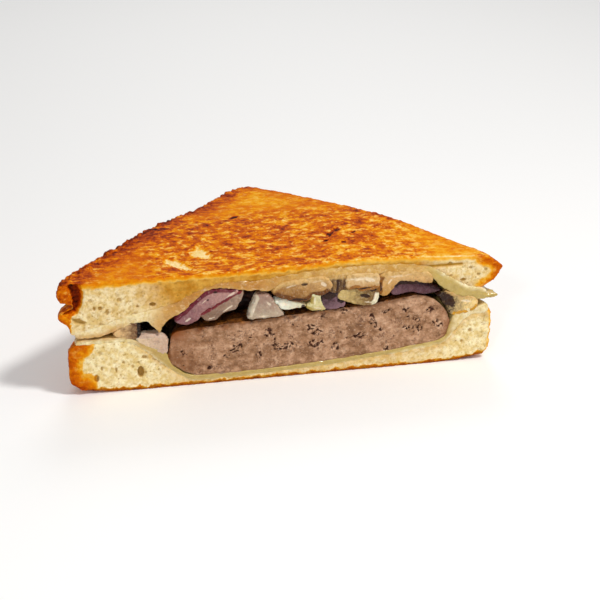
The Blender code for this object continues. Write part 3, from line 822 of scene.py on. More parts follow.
def heap_look():
    """Onion behind the pieces at the cut, painted dark for the shade it lies in."""
    look = Look("filling_in_painted_shade")
    # Painted shade: these dark tones stand for the shade behind the pieces.
    tint = look.ramp(
        look.noise(4.0, 3.0, 0.6, 0.5), (0.35, (22, 10, 8)), (0.5, (46, 24, 18)), (0.62, (70, 44, 38)),
        (0.76, (110, 80, 50)),
    )
    normal = look.bump(look.noise(1.4, 3.0, 0.6), 0.35, 0.6)
    return look.finish(tint, 0.35, normal, sss=0.05, depth=1.2, coat=0.04, specular=0.12)


# Pieces

def ride(piece, look, slot, node):
    piece.data.materials.clear()
    piece.data.materials.append(look)
    piece.data.shade_smooth()
    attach(piece, "root")
    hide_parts(node)


def spot(u, v, centre_u, centre_v, half_long, half_wide, turn=0.0, wobble=0.0):
    """1 inside a tilted oval and 0 outside it, with a narrow soft edge."""
    turn = math.radians(turn)
    a = (u - centre_u) * math.cos(turn) + (v - centre_v) * math.sin(turn)
    b = (v - centre_v) * math.cos(turn) - (u - centre_u) * math.sin(turn)
    return 1.0 - smooth(0.75, 1.2, np.hypot(a / half_long, b / half_wide) + wobble)


def spots(u, v, table, wobble, grown=1.0):
    return most(*(
        spot(u, v, centre_u, centre_v, grown * half_long, grown * half_wide, turn, wobble)
        for centre_u, centre_v, half_long, half_wide, turn in table
    ))


def within(u, v, corners, soft=0.5, wobble=0.0):
    """1 inside the closed outline and 0 outside it, soft at its edge."""
    gap = np.full(len(u), np.inf)
    inside = np.zeros(len(u), bool)
    for (u0, v0), (u1, v1) in zip(corners, corners[1:] + corners[:1]):
        run, climb = u1 - u0, v1 - v0
        t = np.clip(((u - u0) * run + (v - v0) * climb) / (run**2 + climb**2), 0.0, 1.0)
        gap = np.minimum(gap, np.hypot(u - u0 - t * run, v - v0 - t * climb))
        if climb:
            inside ^= ((v0 > v) != (v1 > v)) & (u < u0 + (v - v0) * run / climb)
    return smooth(-soft, soft, np.where(inside, gap, -gap) + wobble)


def end_gap(p, side):
    """How far points near the cut are from the slice's outline there, at its left (-1) or right (1) end."""
    x, z = p[:, 0] * side, p[:, 2]
    end = (p[:, 1] < AT_CUT) & (x > TIPS_FROM)
    level = np.arange(z[end].min(), z[end].max(), LEVEL_STEP)
    reach = np.full(len(level) + 1, -FAR)
    np.maximum.at(reach, ((z[end] - level[0]) / LEVEL_STEP).astype(int), x[end])
    reach = np.where(reach[:-1] < reach.max() - END_DEPTH, -FAR, reach[:-1])
    chosen = (p[:, 1] < NEAR_CUT) & (x > TIPS_FROM)
    gap = np.full(len(p), FAR)
    gap[chosen] = np.hypot(x[chosen, None] - reach, z[chosen, None] - level).min(axis=1)
    return gap


# Outlines at the upper slice's left end, as (x, z): the deep fold in the buckled crust, the pocket below it,
# and the strip of crumb under that. The fold is painted dark brown, partly for its crust and partly as
# painted shade, and the pocket is painted as a shaded hollow.
FOLD = (
    (-85.0, 47.2), (-80.8, 46.4), (-79.3, 42.5), (-80.0, 38.0), (-82.0, 34.8), (-87.0, 34.2), (-84.2, 36.6),
    (-83.4, 38.6), (-84.0, 43.0),
)
POCKET = ((-83.6, 32.4), (-81.0, 32.3), (-78.4, 30.6), (-79.4, 29.8), (-82.6, 30.6))
STRIP = ((-84.2, 29.6), (-79.4, 28.8), (-79.0, 27.2), (-83.4, 27.0))
# Bare crumb and scorched specks on the toast: x, y, half length, half width, slope.
BARE = ((-40.8, 11.0, 5.8, 2.6, -48), (-30.4, 18.6, 6.0, 3.6, -50))
SCORCHED = (
    (-11.5, 50.6, 3.2, 1.2, 40), (24.6, 26.4, 3.6, 0.9, 55), (27.2, 28.6, 2.4, 0.8, 50),
    (23.0, 25.0, 1.5, 0.9, 20), (27.3, 17.6, 1.3, 0.9, 30), (20.4, 20.0, 1.4, 0.7, 30),
    (-13.2, 48.8, 1.2, 0.8, 0), (33.0, 25.5, 1.4, 0.7, 40),
)
# Holes in the crumb that show at the cut: x, z, half width, half height, depth.
TOP_HOLES = (
    (-52.6, 35.8, 1.15, 0.8, 1.6), (-75.1, 36.0, 0.6, 0.8, 0.8), (-72.8, 35.9, 0.85, 0.8, 0.9),
    (-58.4, 35.5, 0.6, 0.5, 0.8), (-65.4, 38.8, 1.0, 0.9, 0.6), (-70.2, 34.0, 0.6, 1.3, 0.7),
    (-72.4, 28.8, 0.8, 0.6, 0.8), (-76.5, 39.3, 0.9, 0.8, 0.5), (-60.0, 32.4, 0.7, 0.5, 0.6),
    (72.3, 35.4, 1.3, 0.55, 0.9), (71.0, 34.1, 0.8, 0.5, 0.7), (66.8, 42.9, 0.9, 0.5, 0.7),
    (67.2, 37.6, 0.6, 0.5, 0.5), (75.3, 40.4, 0.7, 0.6, 0.6), (78.6, 37.2, 0.8, 0.7, 0.6),
    (81.6, 39.2, 0.7, 0.7, 0.6),
)
# The bare corner in the lower slice's left crust, as (x, z).
BARE_CORNER = ((-81.0, 9.4), (-77.5, 9.0), (-74.8, 7.0), (-75.0, 4.6), (-80.0, 3.0))
BOTTOM_HOLES = (
    (-58.0, 7.7, 1.25, 2.2, 2.2), (-75.4, 6.4, 0.9, 1.5, 1.8), (-56.4, 13.9, 1.1, 0.7, 0.7),
    (-73.2, 10.5, 0.5, 0.9, 0.7), (-67.6, 9.4, 0.45, 1.1, 0.7), (-73.8, 17.0, 0.9, 0.9, 0.4),
    (-64.6, 12.4, 0.5, 0.7, 0.5), (-61.2, 10.4, 0.6, 0.7, 0.5), (-52.6, 12.8, 1.0, 0.8, 0.4),
    (-58.8, 11.9, 0.5, 0.5, 0.5), (76.0, 13.0, 0.7, 0.8, 0.7), (72.6, 8.6, 0.6, 0.7, 0.6),
)


def holes(x, z, table):
    return most(*(deep * spot(x, z, *place) for *place, deep in table))


class Face:
    """One slice's points and normals, and where they lie: on the cut, near the front, on the outer crust."""

    def __init__(self, piece, seed):
        self.p, self.n = surface(piece)
        x, y, _ = self.p.T
        self.cut = smooth(0.2, 0.75, -self.n[:, 1]) * fall(0.5, 2.2, y)
        self.front = fall(2.0, 4.0, y)
        self.depth = crust_depth(x, y)
        self.outer = fall(1.0, 3.2, self.depth) * (1.0 - self.cut)
        self.stain = fractal(self.p, 3.0, seed, 3)
        self.fine = fractal(self.p, 1.3, seed + 2, 2)

    def crust_relief(self, seed):
        return self.outer * (0.3 * fractal(self.p, 4.5, seed) + 0.28 * noise(self.p, 1.6, seed + 6))

    def crumb_relief(self, share, hole, size, seed, torn):
        """The open crumb at the cut: how far it stands out, and how much painted shade its hollows get."""
        big = pores(self.p * (1.0, 1.0, 0.75), size, seed, 0.25, 0.6, 0.45) * self.cut * share
        small = pores(self.p, 1.2, seed + 12, 0.18, 0.45, 0.8) * self.cut * share
        sponge = fractal(self.p, 1.6, seed + 20, 3)
        shift = -0.6 * big - 0.35 * small - hole + 0.24 * sponge * self.cut
        # The second value is painted shade: dark in the pores, the holes and the low parts of the sponge.
        return shift, most(big, small, np.minimum(hole, 1.0), torn * smooth(0.1, 0.6, -sponge) * self.cut)


def top_places(f):
    """Finds where the marks of the upper slice lie."""
    x, y, z = f.p.T
    f.below_top = top_side(x, y) - z
    f.from_left = (HALF_DIAGONAL + x - y) / math.sqrt(2.0)
    f.up = smooth(0.3, 0.8, f.n[:, 2]) * fall(1.0, 3.5, f.below_top)
    f.lift = noise(f.p, 7.0, 61)
    f.fold = within(x, z, FOLD, 0.9, 0.35 * f.fine) * f.cut
    f.pocket = within(x, z, POCKET) * f.cut
    f.strip = within(x, z, STRIP) * f.cut
    crumb_from = -79.3 - 0.22 * np.clip(45.0 - z, 0.0, 10.6) - 2.6 * smooth(34.6, 33.4, z)
    f.near_end = fall(-0.5, 0.5, x - crumb_from + 0.6 * f.fine)
    f.crease = bump(z, 42.2, 0.7) * smooth(52.0, 56.0, x) * fall(71.0, 73.0, x)
    f.bare = spots(x, y, BARE, 0.4 * f.lift + 0.45 * f.fine) * f.up
    f.scorched = spots(x, y, SCORCHED, 0.5 * f.fine) * f.up
    f.gap_right = end_gap(f.p, 1)
    f.tip = fall(1.8, 5.6, f.gap_right + 0.5 * f.stain)
    f.mottled = smooth(-60.0, -40.0, x) * fall(40.0, 58.0, y) * fall(46.0, 66.0, x)


def top_relief(f):
    """The upper slice's points with their relief, and how much painted shade its hollows get."""
    x, y, z = f.p.T
    thick = smooth(3.0, 12.0, top_side(x, y) - slice_ceiling(x, y))
    # The crease between bread and cheese is pushed in and given painted shade like a hole.
    hole = most(holes(x, z, TOP_HOLES), 0.7 * f.crease) * f.cut
    shift, dark = f.crumb_relief(thick, hole, 2.6, 11, 0.5)
    ragged = 1.0 + 2.4 * fall(1.5, 7.0, f.from_left)
    crusty = 0.2 * fractal(f.p, 1.7, 41, 3) * ragged + 0.28 * noise(f.p, 9.0, 43)
    shift += f.up * (crusty - 0.7 * f.bare - 0.3 * f.scorched)
    jagged = 1.0 + 1.6 * fall(2.0, 5.0, f.from_left) * fall(2.0, 9.0, f.below_top)
    shift += f.crust_relief(51) * jagged
    moved = f.p + f.n * shift[:, None]
    moved[:, 1] += 2.8 * f.fold + 1.2 * f.pocket
    moved[:, 0] += 1.3 * bump(z, 39.8, 1.6) * fall(0.0, 3.0, f.gap_right) * f.front
    # The pocket gets painted shade as a hollow.
    return moved, most(dark, f.pocket)


def top_toast(f):
    """How brown the upper slice is, with painted shade in the fold at its left end."""
    x, y, z = f.p.T
    on_top = 0.39 + 0.04 * smooth(-20.0, -45.0, x) + 0.07 * f.lift + 0.06 * noise(f.p, 14.0, 69)
    on_top += 0.07 * f.mottled
    on_top += 0.2 * fall(4.0, 15.0, f.from_left + 1.6 * f.stain + 1.5 * f.lift)
    on_top += 0.08 * fall(1.0, 9.0, f.depth + f.lift) - 0.13 * bump(x, 0.0, 11.0) * bump(y, 70.0, 13.0)
    on_top -= 0.14 * smooth(35.0, 70.0, x) + 0.08 * bump(x, -70.0, 12.0) * fall(10.0, 22.0, y)
    # Near the front top edge, from about x = -46 rightwards, the toast is paler: partly the edge soaked pale
    # with cheese, partly a painted highlight.
    soaked_and_highlit = smooth(-46.0, -30.0, x) * fall(-0.6, 2.8, y + 0.9 * f.stain + 0.6 * f.lift)
    on_top *= 1.0 - 0.75 * soaked_and_highlit
    on_top *= 1.0 - 0.82 * f.bare
    on_side = 0.5 + 0.14 * noise(f.p, 6.0, 67) + 0.1 * fall(3.0, 9.0, f.below_top) * (x < 0.0)
    rim = 3.0 + 0.9 * smooth(-58.0, -66.0, x) * smooth(-80.0, -77.0, x)
    edge = fall(0.3, rim, f.below_top + 0.7 * f.stain) * f.cut
    toast = np.minimum(most(on_top * f.up, on_side * f.outer), 0.7 + 0.1 * f.stain)
    toast = most(toast, 0.95 * f.scorched, (0.34 - 0.14 * smooth(0.0, 40.0, x)) * edge)
    toast = np.where(x > TIPS_FROM, toast * (1.0 - 0.25 * f.outer), toast)
    at_tip = f.tip * f.front * (0.46 + 0.08 * f.lift - 0.16 * smooth(0.6, 3.6, f.gap_right))
    at_end = f.near_end * f.cut * (0.42 + 0.1 * f.lift + 0.1 * smooth(33.6, 34.4, z))
    # The fold's dark brown is partly crust and partly painted shade.
    return most(toast, at_tip, at_end, 0.9 * f.fold) * (1.0 - most(f.strip, f.pocket))


def top_soak(f):
    """How far fat and cheese have soaked into the upper slice's crumb."""
    x, y, z = f.p.T
    middle = smooth(-66.0, -38.0, x + 0.6 * (z - 40.0)) * fall(52.0, 64.0, x)
    soaked = middle * (0.95 - 0.12 * smooth(-8.0, 14.0, x)) + 0.12 * f.stain + 0.2
    by_cheese = (0.24 + 0.26 * smooth(-56.0, -44.0, x)) * fall(0.5, 5.0, z - slice_ceiling(x, y))
    by_toast = 0.5 * fall(1.0, 4.0, f.below_top) * fall(20.0, 60.0, x)
    return np.clip(most(soaked, by_cheese, by_toast, 1.1 * f.crease), 0.0, 1.0) * f.cut


def top_grain(f):
    """How strongly the upper slice's toast is mottled."""
    by_leg = 0.55 * fall(5.0, 13.0, f.from_left)
    grain = f.up * (0.2 + 0.8 * most(f.mottled, by_leg)) + 0.5 * f.outer
    grain += 0.4 * f.near_end * f.cut + 0.3 * f.tip * f.front
    return np.clip(grain * (1.0 - f.bare) + 0.2, 0.0, 1.0)


def top_slice(net, look):
    piece = slab(net, slice_ceiling, top_side, bread_top_wall, TOP_ROWS).build("toast_top")
    remeshed(piece, VOXEL, SOFTENED)
    refined(piece)
    face = Face(piece, 63)
    top_places(face)
    moved, dark = top_relief(face)
    move_points(piece, moved)
    paint(piece, toast=top_toast(face), soak=top_soak(face), pore=dark, grain=top_grain(face))
    ride(piece, look, "bread", "bread_top")


def bottom_relief(f):
    """The lower slice's points with their relief, and how much painted shade its hollows get."""
    x, y, z = f.p.T
    shift, dark = f.crumb_relief(f.thick, holes(x, z, BOTTOM_HOLES) * f.cut, 2.4, 111, 0.35)
    shift += f.crust_relief(151)
    ragged_end = smooth(76.0, 83.0, x) * smooth(0.0, 6.0, z)
    shift += ragged_end * (0.7 * fractal(f.p, 3.5, 159) + 0.3 * f.fine)
    moved = f.p + f.n * shift[:, None]
    moved[:, 0] += 2.4 * bump(z, 12.0, 6.0) * smooth(-78.0, -86.0, x) * fall(2.0, 26.0, y)
    crumbly = fall(0.4, 1.6, f.above) * f.cut * fall(-82.0, -86.0, x)
    moved[:, 1] += 0.5 * crumbly * smooth(-0.2, 0.5, f.fine)
    moved[:, 2] = np.maximum(moved[:, 2], 0.0)
    return moved, dark


def bottom_slice(net, look):
    piece = slab(net, underside, floor, bread_bottom_wall, BOTTOM_ROWS).build("toast_bottom")
    remeshed(piece, VOXEL, SOFTENED)
    refined(piece)
    f = Face(piece, 163)
    x, y, z = f.p.T
    f.above = z - underside(x, y)
    f.thick = smooth(4.0, 12.0, floor(x, y) - underside(x, y))
    moved, dark = bottom_relief(f)
    move_points(piece, moved)

    down = smooth(0.3, 0.8, -f.n[:, 2]) * fall(1.0, 3.0, f.above)
    on_side = (0.46 + 0.1 * noise(f.p, 6.0, 167)) * f.outer
    toast = most((0.54 + 0.12 * noise(f.p, 6.0, 161)) * down, on_side)
    toast = np.where(x > TIPS_FROM, toast * (1.0 - 0.5 * f.outer), toast)
    edge = fall(0.5, 2.1, f.above + 0.9 * f.stain + 0.6 * f.fine) * f.cut
    brown = edge * smooth(-82.0, -74.0, x) * (0.7 + 0.3 * noise(f.p, 5.0, 171))
    gap_left = end_gap(f.p, -1)
    band = fall(5.6, 7.6, gap_left + 0.9 * f.stain + 0.4 * f.fine) * f.front
    deepest = 0.52 - 0.26 * smooth(1.0, 6.0, gap_left) + 0.26 * smooth(20.5, 24.0, z) + 0.14 * f.stain
    deepest += 0.1 * fall(3.0, 9.0, z)
    corner = within(x, z, BARE_CORNER, 0.8, 0.4 * f.fine) * f.cut
    end = fall(0.2, 1.6, end_gap(f.p, 1) + 0.6 * f.stain) * f.front
    toast = most(toast, (0.5 + 0.2 * f.fine) * edge, band * deepest, 0.2 * corner, 0.18 * end)
    soaked = 0.45 * fall(0.3, 4.2, floor(x, y) - z + 0.5 * f.stain) * smooth(-66.0, -54.0, x)
    soaked = np.clip(most(soaked, 0.3 * (1.0 - f.thick) + 0.1 * f.stain), 0.0, 1.0) * f.cut
    grain = np.clip(down + 0.5 * f.outer + 0.25 + 0.35 * edge + 0.1 * band - 0.2 * corner, 0.0, 1.0)
    paint(piece, toast=toast, soak=soaked, pore=dark, grain=grain, brown=brown)
    ride(piece, look, "bread", "bread_bottom")


def cheese_top_side(x, y):
    return slice_ceiling(x, y) + SUNK


def flattened(p, out):
    """The points near the cut drawn forward, so that the edge there is crisp instead of round."""
    t = np.clip(p[:, 1] / 1.5, 0.0, 1.0)
    p = p.copy()
    p[:, 1] = np.where(p[:, 1] < 1.5, 1.5 * t**2.5 - out * (1.0 - t), p[:, 1])
    return p


def sunk_edge(inside):
    """How far cheese is pushed back that near the edge which it has under the bread."""
    return 0.28 * fall(1.0, 4.0, inside) + 0.8 * fall(0.0, 0.7, inside)


def hollow_shade(x, y):
    """How far in the dark a cheese surface lies, inside the opening left of the patty."""
    inside = smooth(-61.0, -58.0, x) * fall(-46.5, -43.0, x)
    return inside * smooth(0.6, 2.0, y) * smooth(4.0, 14.0, from_leg(x, y))


def melt_top(net, look):
    wall = cheese_wall(4.8)
    shell = slab(net, cheese_ceiling, cheese_top_side, wall, CHEESE_ROWS, cheese_ceiling)
    piece = shell.build("melt_top")
    remeshed(piece, CHEESE_VOXEL, CHEESE_SOFTENED)
    p, n = surface(piece)
    x, y, z = p.T
    cut = fall(0.5, 2.5, y)
    wander = noise(p, 2.6, 225)
    crumb = smooth(-1.6, 0.8, z - slice_ceiling(x, y) + 0.7 * wander)
    crumb = crumb * most(smooth(-46.0, -54.0, x), smooth(58.0, 64.0, x))
    crumb = most(crumb, 0.8 * smooth(-46.0, -58.0, x - 0.4 * (z - 30.0) + 2.0 * wander)) * cut
    edge = smooth(-60.0, -66.0, x) * fall(0.4, 2.6, z - cheese_ceiling(x, y) + 0.6 * wander) * cut
    crumb = crumb * (1.0 - 0.7 * edge)
    shift = 0.5 * fractal(p, 3.0, 211, 3) * cut + 0.15 * noise(p, 6.0, 217)
    shift += 0.24 * fractal(p, 1.6, 31, 3) * crumb
    moved = flattened(p, 0.3) + n * shift[:, None]
    moved[:, 1] += sunk_edge(cheese_top_side(x, y) - z) * cut
    # The lip at the right end thins to a ragged edge.
    lip = smooth(78.5, 86.0, x)
    moved[:, 2] += (27.4 + 0.5 * noise(p, 4.0, 219) - z) * 0.72 * lip
    moved[:, 0] -= lip * (1.0 + 1.4 * fractal(p, 3.0, 223, 3))
    move_points(piece, moved)
    amber = smooth(-62.0, -38.0, x) * fall(-12.0, 6.0, x) * cut
    amber = amber * smooth(-2.5, 1.0, z - cheese_ceiling(x, y) - 1.0)
    amber = np.maximum(amber, 0.75 * edge)
    green = smooth(55.0, 62.0, x)
    paint(piece, amber=np.clip(amber + 0.25 * noise(p, 5.0, 221), 0.0, 1.0), green=green, crumb=crumb,
          hollow=hollow_shade(x, y))
    ride(piece, look, "cheese", "cheese_top")


def melt_bottom(net, look):
    shell = slab(net, cheese_underside, cheese_fill, cheese_wall(0.4), CHEESE_ROWS, cheese_fill)
    piece = shell.build("melt_bottom")
    remeshed(piece, CHEESE_VOXEL, CHEESE_SOFTENED)
    p, n = surface(piece)
    x, y, z = p.T
    cut = fall(0.5, 2.5, y)
    wander = noise(p, 2.6, 325)
    crumb = fall(-0.8, 0.1 + 1.1 * smooth(38.0, 52.0, np.abs(x)), z - floor(x, y) + 0.5 * wander)
    ends = np.maximum(smooth(-56.0, -65.0, x + 2.0 * wander), 0.85 * smooth(66.5, 71.0, x + 1.5 * wander))
    crumb = np.maximum(crumb, ends) * cut
    shift = 0.35 * fractal(p, 4.0, 311, 3) * cut + 0.24 * fractal(p, 1.6, 131, 3) * crumb
    moved = flattened(p, 0.25) + n * shift[:, None]
    moved[:, 1] += sunk_edge(z - cheese_underside(x, y)) * cut
    move_points(piece, moved)
    green = smooth(-58.0, -48.0, x) * (0.8 - 0.5 * smooth(62.0, 70.0, x))
    golden = bump(x, 77.5, 1.6) * smooth(20.0, 23.0, z)
    edge = smooth(-60.0, -66.0, x) * smooth(-1.4, -0.2, z - cheese_floor(x, y) + 0.4 * wander) * cut
    golden = np.maximum(np.maximum(golden, edge), 0.6 * bump(x, -48.0, 4.5))
    crumb = crumb * (1.0 - 0.7 * edge)
    paint(piece, amber=np.clip(0.35 * noise(p, 6.0, 321) + 0.7 * golden, 0.0, 1.0), green=green,
          crumb=crumb, hollow=hollow_shade(x, y))
    ride(piece, look, "cheese", "cheese_bottom")


# Clusters of torn hollows at the patty's cut: x, z, half length, half width, slope.
TEARS = (
    (-41.0, 14.0, 1.3, 1.0, 0), (-33.0, 21.0, 1.3, 0.8, 0), (-29.5, 6.8, 1.8, 1.0, 10),
    (-20.0, 14.4, 2.2, 1.4, 30), (-11.0, 10.5, 1.2, 1.6, 0), (-7.0, 19.6, 2.6, 1.5, -20),
    (-3.4, 13.2, 2.2, 1.4, 0), (0.6, 13.2, 2.4, 1.5, 0), (-5.0, 16.2, 0.9, 0.9, 0),
    (4.4, 21.4, 2.0, 0.7, -30), (11.8, 18.9, 3.6, 1.5, -20), (11.0, 13.2, 2.1, 1.5, -30),
    (14.5, 14.0, 1.1, 0.9, 0), (20.0, 11.0, 1.3, 1.5, 0), (29.4, 15.0, 2.0, 1.4, 10),
    (35.0, 21.2, 1.3, 2.2, 10), (36.4, 18.8, 0.9, 1.3, 0), (38.8, 17.0, 1.6, 0.8, -30),
    (40.2, 24.4, 1.8, 0.7, 20), (41.0, 8.4, 1.2, 0.9, 0), (49.0, 24.2, 1.6, 1.0, -40),
    (50.2, 22.0, 1.0, 1.3, 0), (50.2, 16.6, 2.2, 0.8, 0), (54.4, 15.4, 1.2, 1.4, 0),
    (53.2, 19.5, 1.4, 0.8, 0), (59.0, 23.4, 1.9, 1.0, 20), (62.2, 17.4, 2.2, 1.3, -30),
    (15.0, 24.6, 1.2, 0.8, 0), (24.0, 26.0, 1.2, 0.9, 0), (-24.0, 11.0, 1.0, 0.7, 0),
    (45.0, 13.6, 1.0, 0.7, 0), (-14.0, 17.6, 1.0, 0.7, 0),
)


def beef(net, look):
    shell = slab(net, patty_underside, patty_top, patty_wall, PATTY_ROWS, rim=net.patty,
                 rings=PATTY_FLAT_RINGS)
    piece = shell.build("beef")
    remeshed(piece, VOXEL, SOFTENED)
    refined(piece)
    p, n = surface(piece)
    x, y, z = p.T
    cut = smooth(0.2, 0.7, -n[:, 1]) * fall(0.5, 2.2, y)
    outside = 1.0 - cut
    warped = p + 0.9 * np.column_stack([noise(p, 1.6, 401), noise(p, 1.6, 403), noise(p, 1.6, 405)])
    torn = 0.5 * fractal(p, 1.7, 419, 2)
    cluster = spots(x, z, TEARS, torn, 1.15)
    crowd = np.maximum(0.55 * smooth(-0.1, 0.4, noise(p, 5.5, 417)), cluster)
    hollow = cluster * smooth(-0.02, 0.3, noise(warped, 1.2, 411))
    hollow = np.maximum(hollow, 0.8 * pores(warped, 2.4, 413, 0.2, 0.5, 0.2))
    chunks = fractal(p, 2.8, 421, 3)
    grains = np.abs(noise(p, 2.6, 425)) + 0.5 * np.abs(noise(p, 1.3, 427))
    shift = cut * (-0.2 - 0.9 * hollow + 0.2 * chunks + 0.25 * noise(p, 5.0, 431))
    shift += outside * (0.45 * grains + 0.35 * noise(p, 4.0, 437) - 0.5)
    moved = p + n * shift[:, None]
    corner = bump(x, -43.5, 4.0) * smooth(16.0, 22.0, z) * fall(4.0, 14.0, y)
    moved[:, 0] -= 1.8 * corner
    moved[:, 2] += 0.9 * corner
    move_points(piece, moved)
    stain = noise(p, 3.0, 441)
    below = patty_top(x, y) - z
    rim = np.minimum(x - PATTY_LEFT, PATTY_RIGHT - x)
    at_ends = (0.8 + 0.4 * smooth(-30.0, -40.0, x)) * fall(0.3, 2.8, rim + 0.6 * stain)
    at_foot = 0.6 * fall(0.2, 1.4, z - patty_underside(x, y) - SUNK + 0.4 * stain)
    edge = most(fall(0.3, 3.0, below + 0.8 * stain), at_ends, at_foot)
    glaze = bump(x, -42.5, 4.2) * smooth(17.0, 21.5, z + stain) * fall(3.0, 6.0, y)
    along_top = smooth(-44.0, -40.0, x) * fall(-22.0, -12.0, x) * fall(1.2, 3.4, below + stain)
    along_top = 0.6 * along_top * smooth(-0.5, 0.6, noise(p, 3.5, 443))
    by_right = 0.5 * fall(1.0, 5.0, PATTY_RIGHT - x + 0.8 * stain)
    glaze = most(glaze, most(along_top, by_right, 0.32 * smooth(-26.0, -46.0, x)) * cut)
    browned = most(0.75 * edge, smooth(-22.0, -44.0, x) * (0.42 + 0.12 * stain)) * cut
    # high rises with the chunks that stand out, so that the tone darkens between them as painted shade; the
    # noise and the clusters add the meat's own changes of tone.
    high = 0.5 + 0.6 * chunks + 0.5 * noise(p * (0.5, 1.0, 1.0), 6.0, 447) + 0.3 * crowd
    paint(piece, sear=most(outside, browned), pore=hollow * cut, glaze=glaze, crowd=crowd,
          high=np.clip(high, 0.0, 1.0))
    ride(piece, look, "patty", "patty")


# Onion and mushroom at the cut: each piece's outline there as (x, z), how far it stands out of the cut, the
# way that its coloured edge faces and the way that its tone changes.
PIECES = {
    "red_onion_1": (
        ((-43.4, 28.6), (-39.5, 32.2), (-35.5, 35.9), (-31.8, 38.8), (-28, 39.6), (-23.5, 39.2),
        (-19.6, 38.7), (-24, 36.1), (-29, 33.5), (-34, 30.7), (-36, 28.1), (-39.5, 26.6)), 0.6, (-0.7, 0.7),
        (0.6, 0.8),
    ),
    "red_onion_2": (
        ((-33.3, 30.2), (-29, 32.8), (-24.2, 35.4), (-20, 37.8), (-17.6, 38.0), (-17.4, 36.6), (-18.8, 34),
        (-20.2, 31.5), (-23, 30.8), (-25.2, 29.9), (-28, 27.7), (-31, 27.4), (-33, 28.5)), 0.2,
        (-0.5, 0.85), (0.6, 0.8),
    ),
    "red_onion_3": (
        ((14.6, 33.6), (17, 34.5), (20.2, 34), (21, 31.6), (23.2, 30.4), (23.4, 28.8), (21.8, 28.1),
        (16.2, 28), (15, 30)), 0.3, (0.0, 1.0), (-0.5, 0.85),
    ),
    "red_onion_4": (
        ((43.4, 31.9), (43.5, 34), (45.2, 36.1), (48.5, 36.9), (52.5, 36.3), (56.8, 35.2), (60, 33.6),
        (62.2, 31.7), (59.5, 31.3), (56.5, 31.2), (53.5, 31.9), (50.5, 32.6), (47.5, 31.9), (45.2, 31.5)),
        0.0, (0.0, 1.0), (0.3, 0.9),
    ),
    "red_onion_5": (
        ((-58.6, 22.4), (-54.5, 22.9), (-50.6, 22.7), (-48.2, 21.2), (-47.5, 18.4), (-47.9, 15),
        (-51.2, 15.8), (-54.5, 18.2), (-57.8, 20.6)), 0.2, (0.0, 1.0), (1.0, 0.0),
    ),
    "white_onion_1": (
        ((-14.2, 28), (-13.7, 30.4), (-12.4, 33.4), (-11.4, 35.3), (-9.8, 35.9), (-7.8, 35.4), (-6.1, 34.2),
        (-4.9, 32), (-3.2, 29.6), (-1.6, 27.6), (-2.4, 26.9), (-13.4, 26.9)), 0.8, (-1.0, 0.1), (0.0, 1.0),
    ),
    "white_onion_2": (
        ((-4, 32.6), (-1.5, 32.9), (0.6, 32.6), (3, 31.8), (7.6, 30.3), (4.6, 29.7), (1.5, 29.4),
        (-1.2, 29.9), (-2.6, 31)), 0.4, (1.0, -0.2), (1.0, 0.0),
    ),
    "white_onion_3": (
        ((10.5, 34.2), (13, 34.3), (13.7, 32), (14.3, 29.6), (15.2, 27.9), (10.2, 28.3), (8.6, 29.7),
        (10.2, 31)), 0.6, (-0.9, -0.4), (0.0, 1.0),
    ),
    "mushroom_1": (
        ((21.6, 32.9), (23, 34.4), (27.5, 34.6), (34.4, 34.6), (36.4, 33.4), (36.9, 31.6), (36, 29.6),
        (34.6, 28.7), (31.5, 29.1), (28.5, 29.8), (26, 30.8), (24, 31.3)), 0.4, (0.85, -0.5), (1.0, 0.0),
    ),
    "mushroom_2": (
        ((62.6, 30.2), (66.2, 30.6), (69, 29.4), (71.8, 28.2), (76.8, 27.4), (78.4, 25), (77, 22.3),
        (72.5, 21.4), (69.2, 21), (67.4, 22), (65.8, 25), (63.6, 28)), 0.4, (0.4, -0.9), (1.0, -0.2),
    ),
    "mushroom_3": (
        ((-67.4, 24.4), (-65.5, 26.4), (-62.5, 28.4), (-60, 29.4), (-58.4, 29), (-58, 26), (-58.4, 22.8),
        (-60.5, 22.4), (-64, 22.8)), 0.2, (1.0, 0.0), (1.0, 0.0),
    ),
    "mushroom_4": (
        ((-4.4, 37.4), (-1.6, 39.4), (3.5, 40.6), (9, 41.2), (14, 41.2), (16.9, 39.6), (17.2, 36.8),
        (15, 35.2), (11, 34.9), (8, 33.2), (4.4, 32.9), (1, 34.2), (-3, 35.7)), 1.0, (0.0, -1.0),
        (0.3, 1.0),
    ),
    "mushroom_5": (
        ((17.9, 41.2), (20.5, 41.7), (24.3, 41.5), (24.6, 38.5), (24.3, 35.4), (21, 35), (18.1, 35.6),
        (17.7, 38)), 0.4, (1.0, 0.0), (0.0, 1.0),
    ),
    "mushroom_6": (
        ((25.3, 36.3), (25.2, 40.6), (28.5, 41.6), (33, 41.5), (36.2, 40.6), (36.8, 37.4), (35.6, 35.6),
        (31, 35.5), (27.8, 36.5)), 0.9, (0.1, -1.0), (0.0, 1.0),
    ),
    "mushroom_7": (
        ((38.3, 33.2), (38, 37), (39.4, 40), (44, 40.9), (52, 40.5), (57, 39.2), (58.6, 37.6), (58.4, 36.2),
        (56, 36.6), (52.2, 37.6), (47.5, 38.1), (44.4, 37.1), (42.6, 34.8), (40.4, 32.8)), 0.6, (-1.0, 0.0),
        (0.0, 1.0),
    ),
}
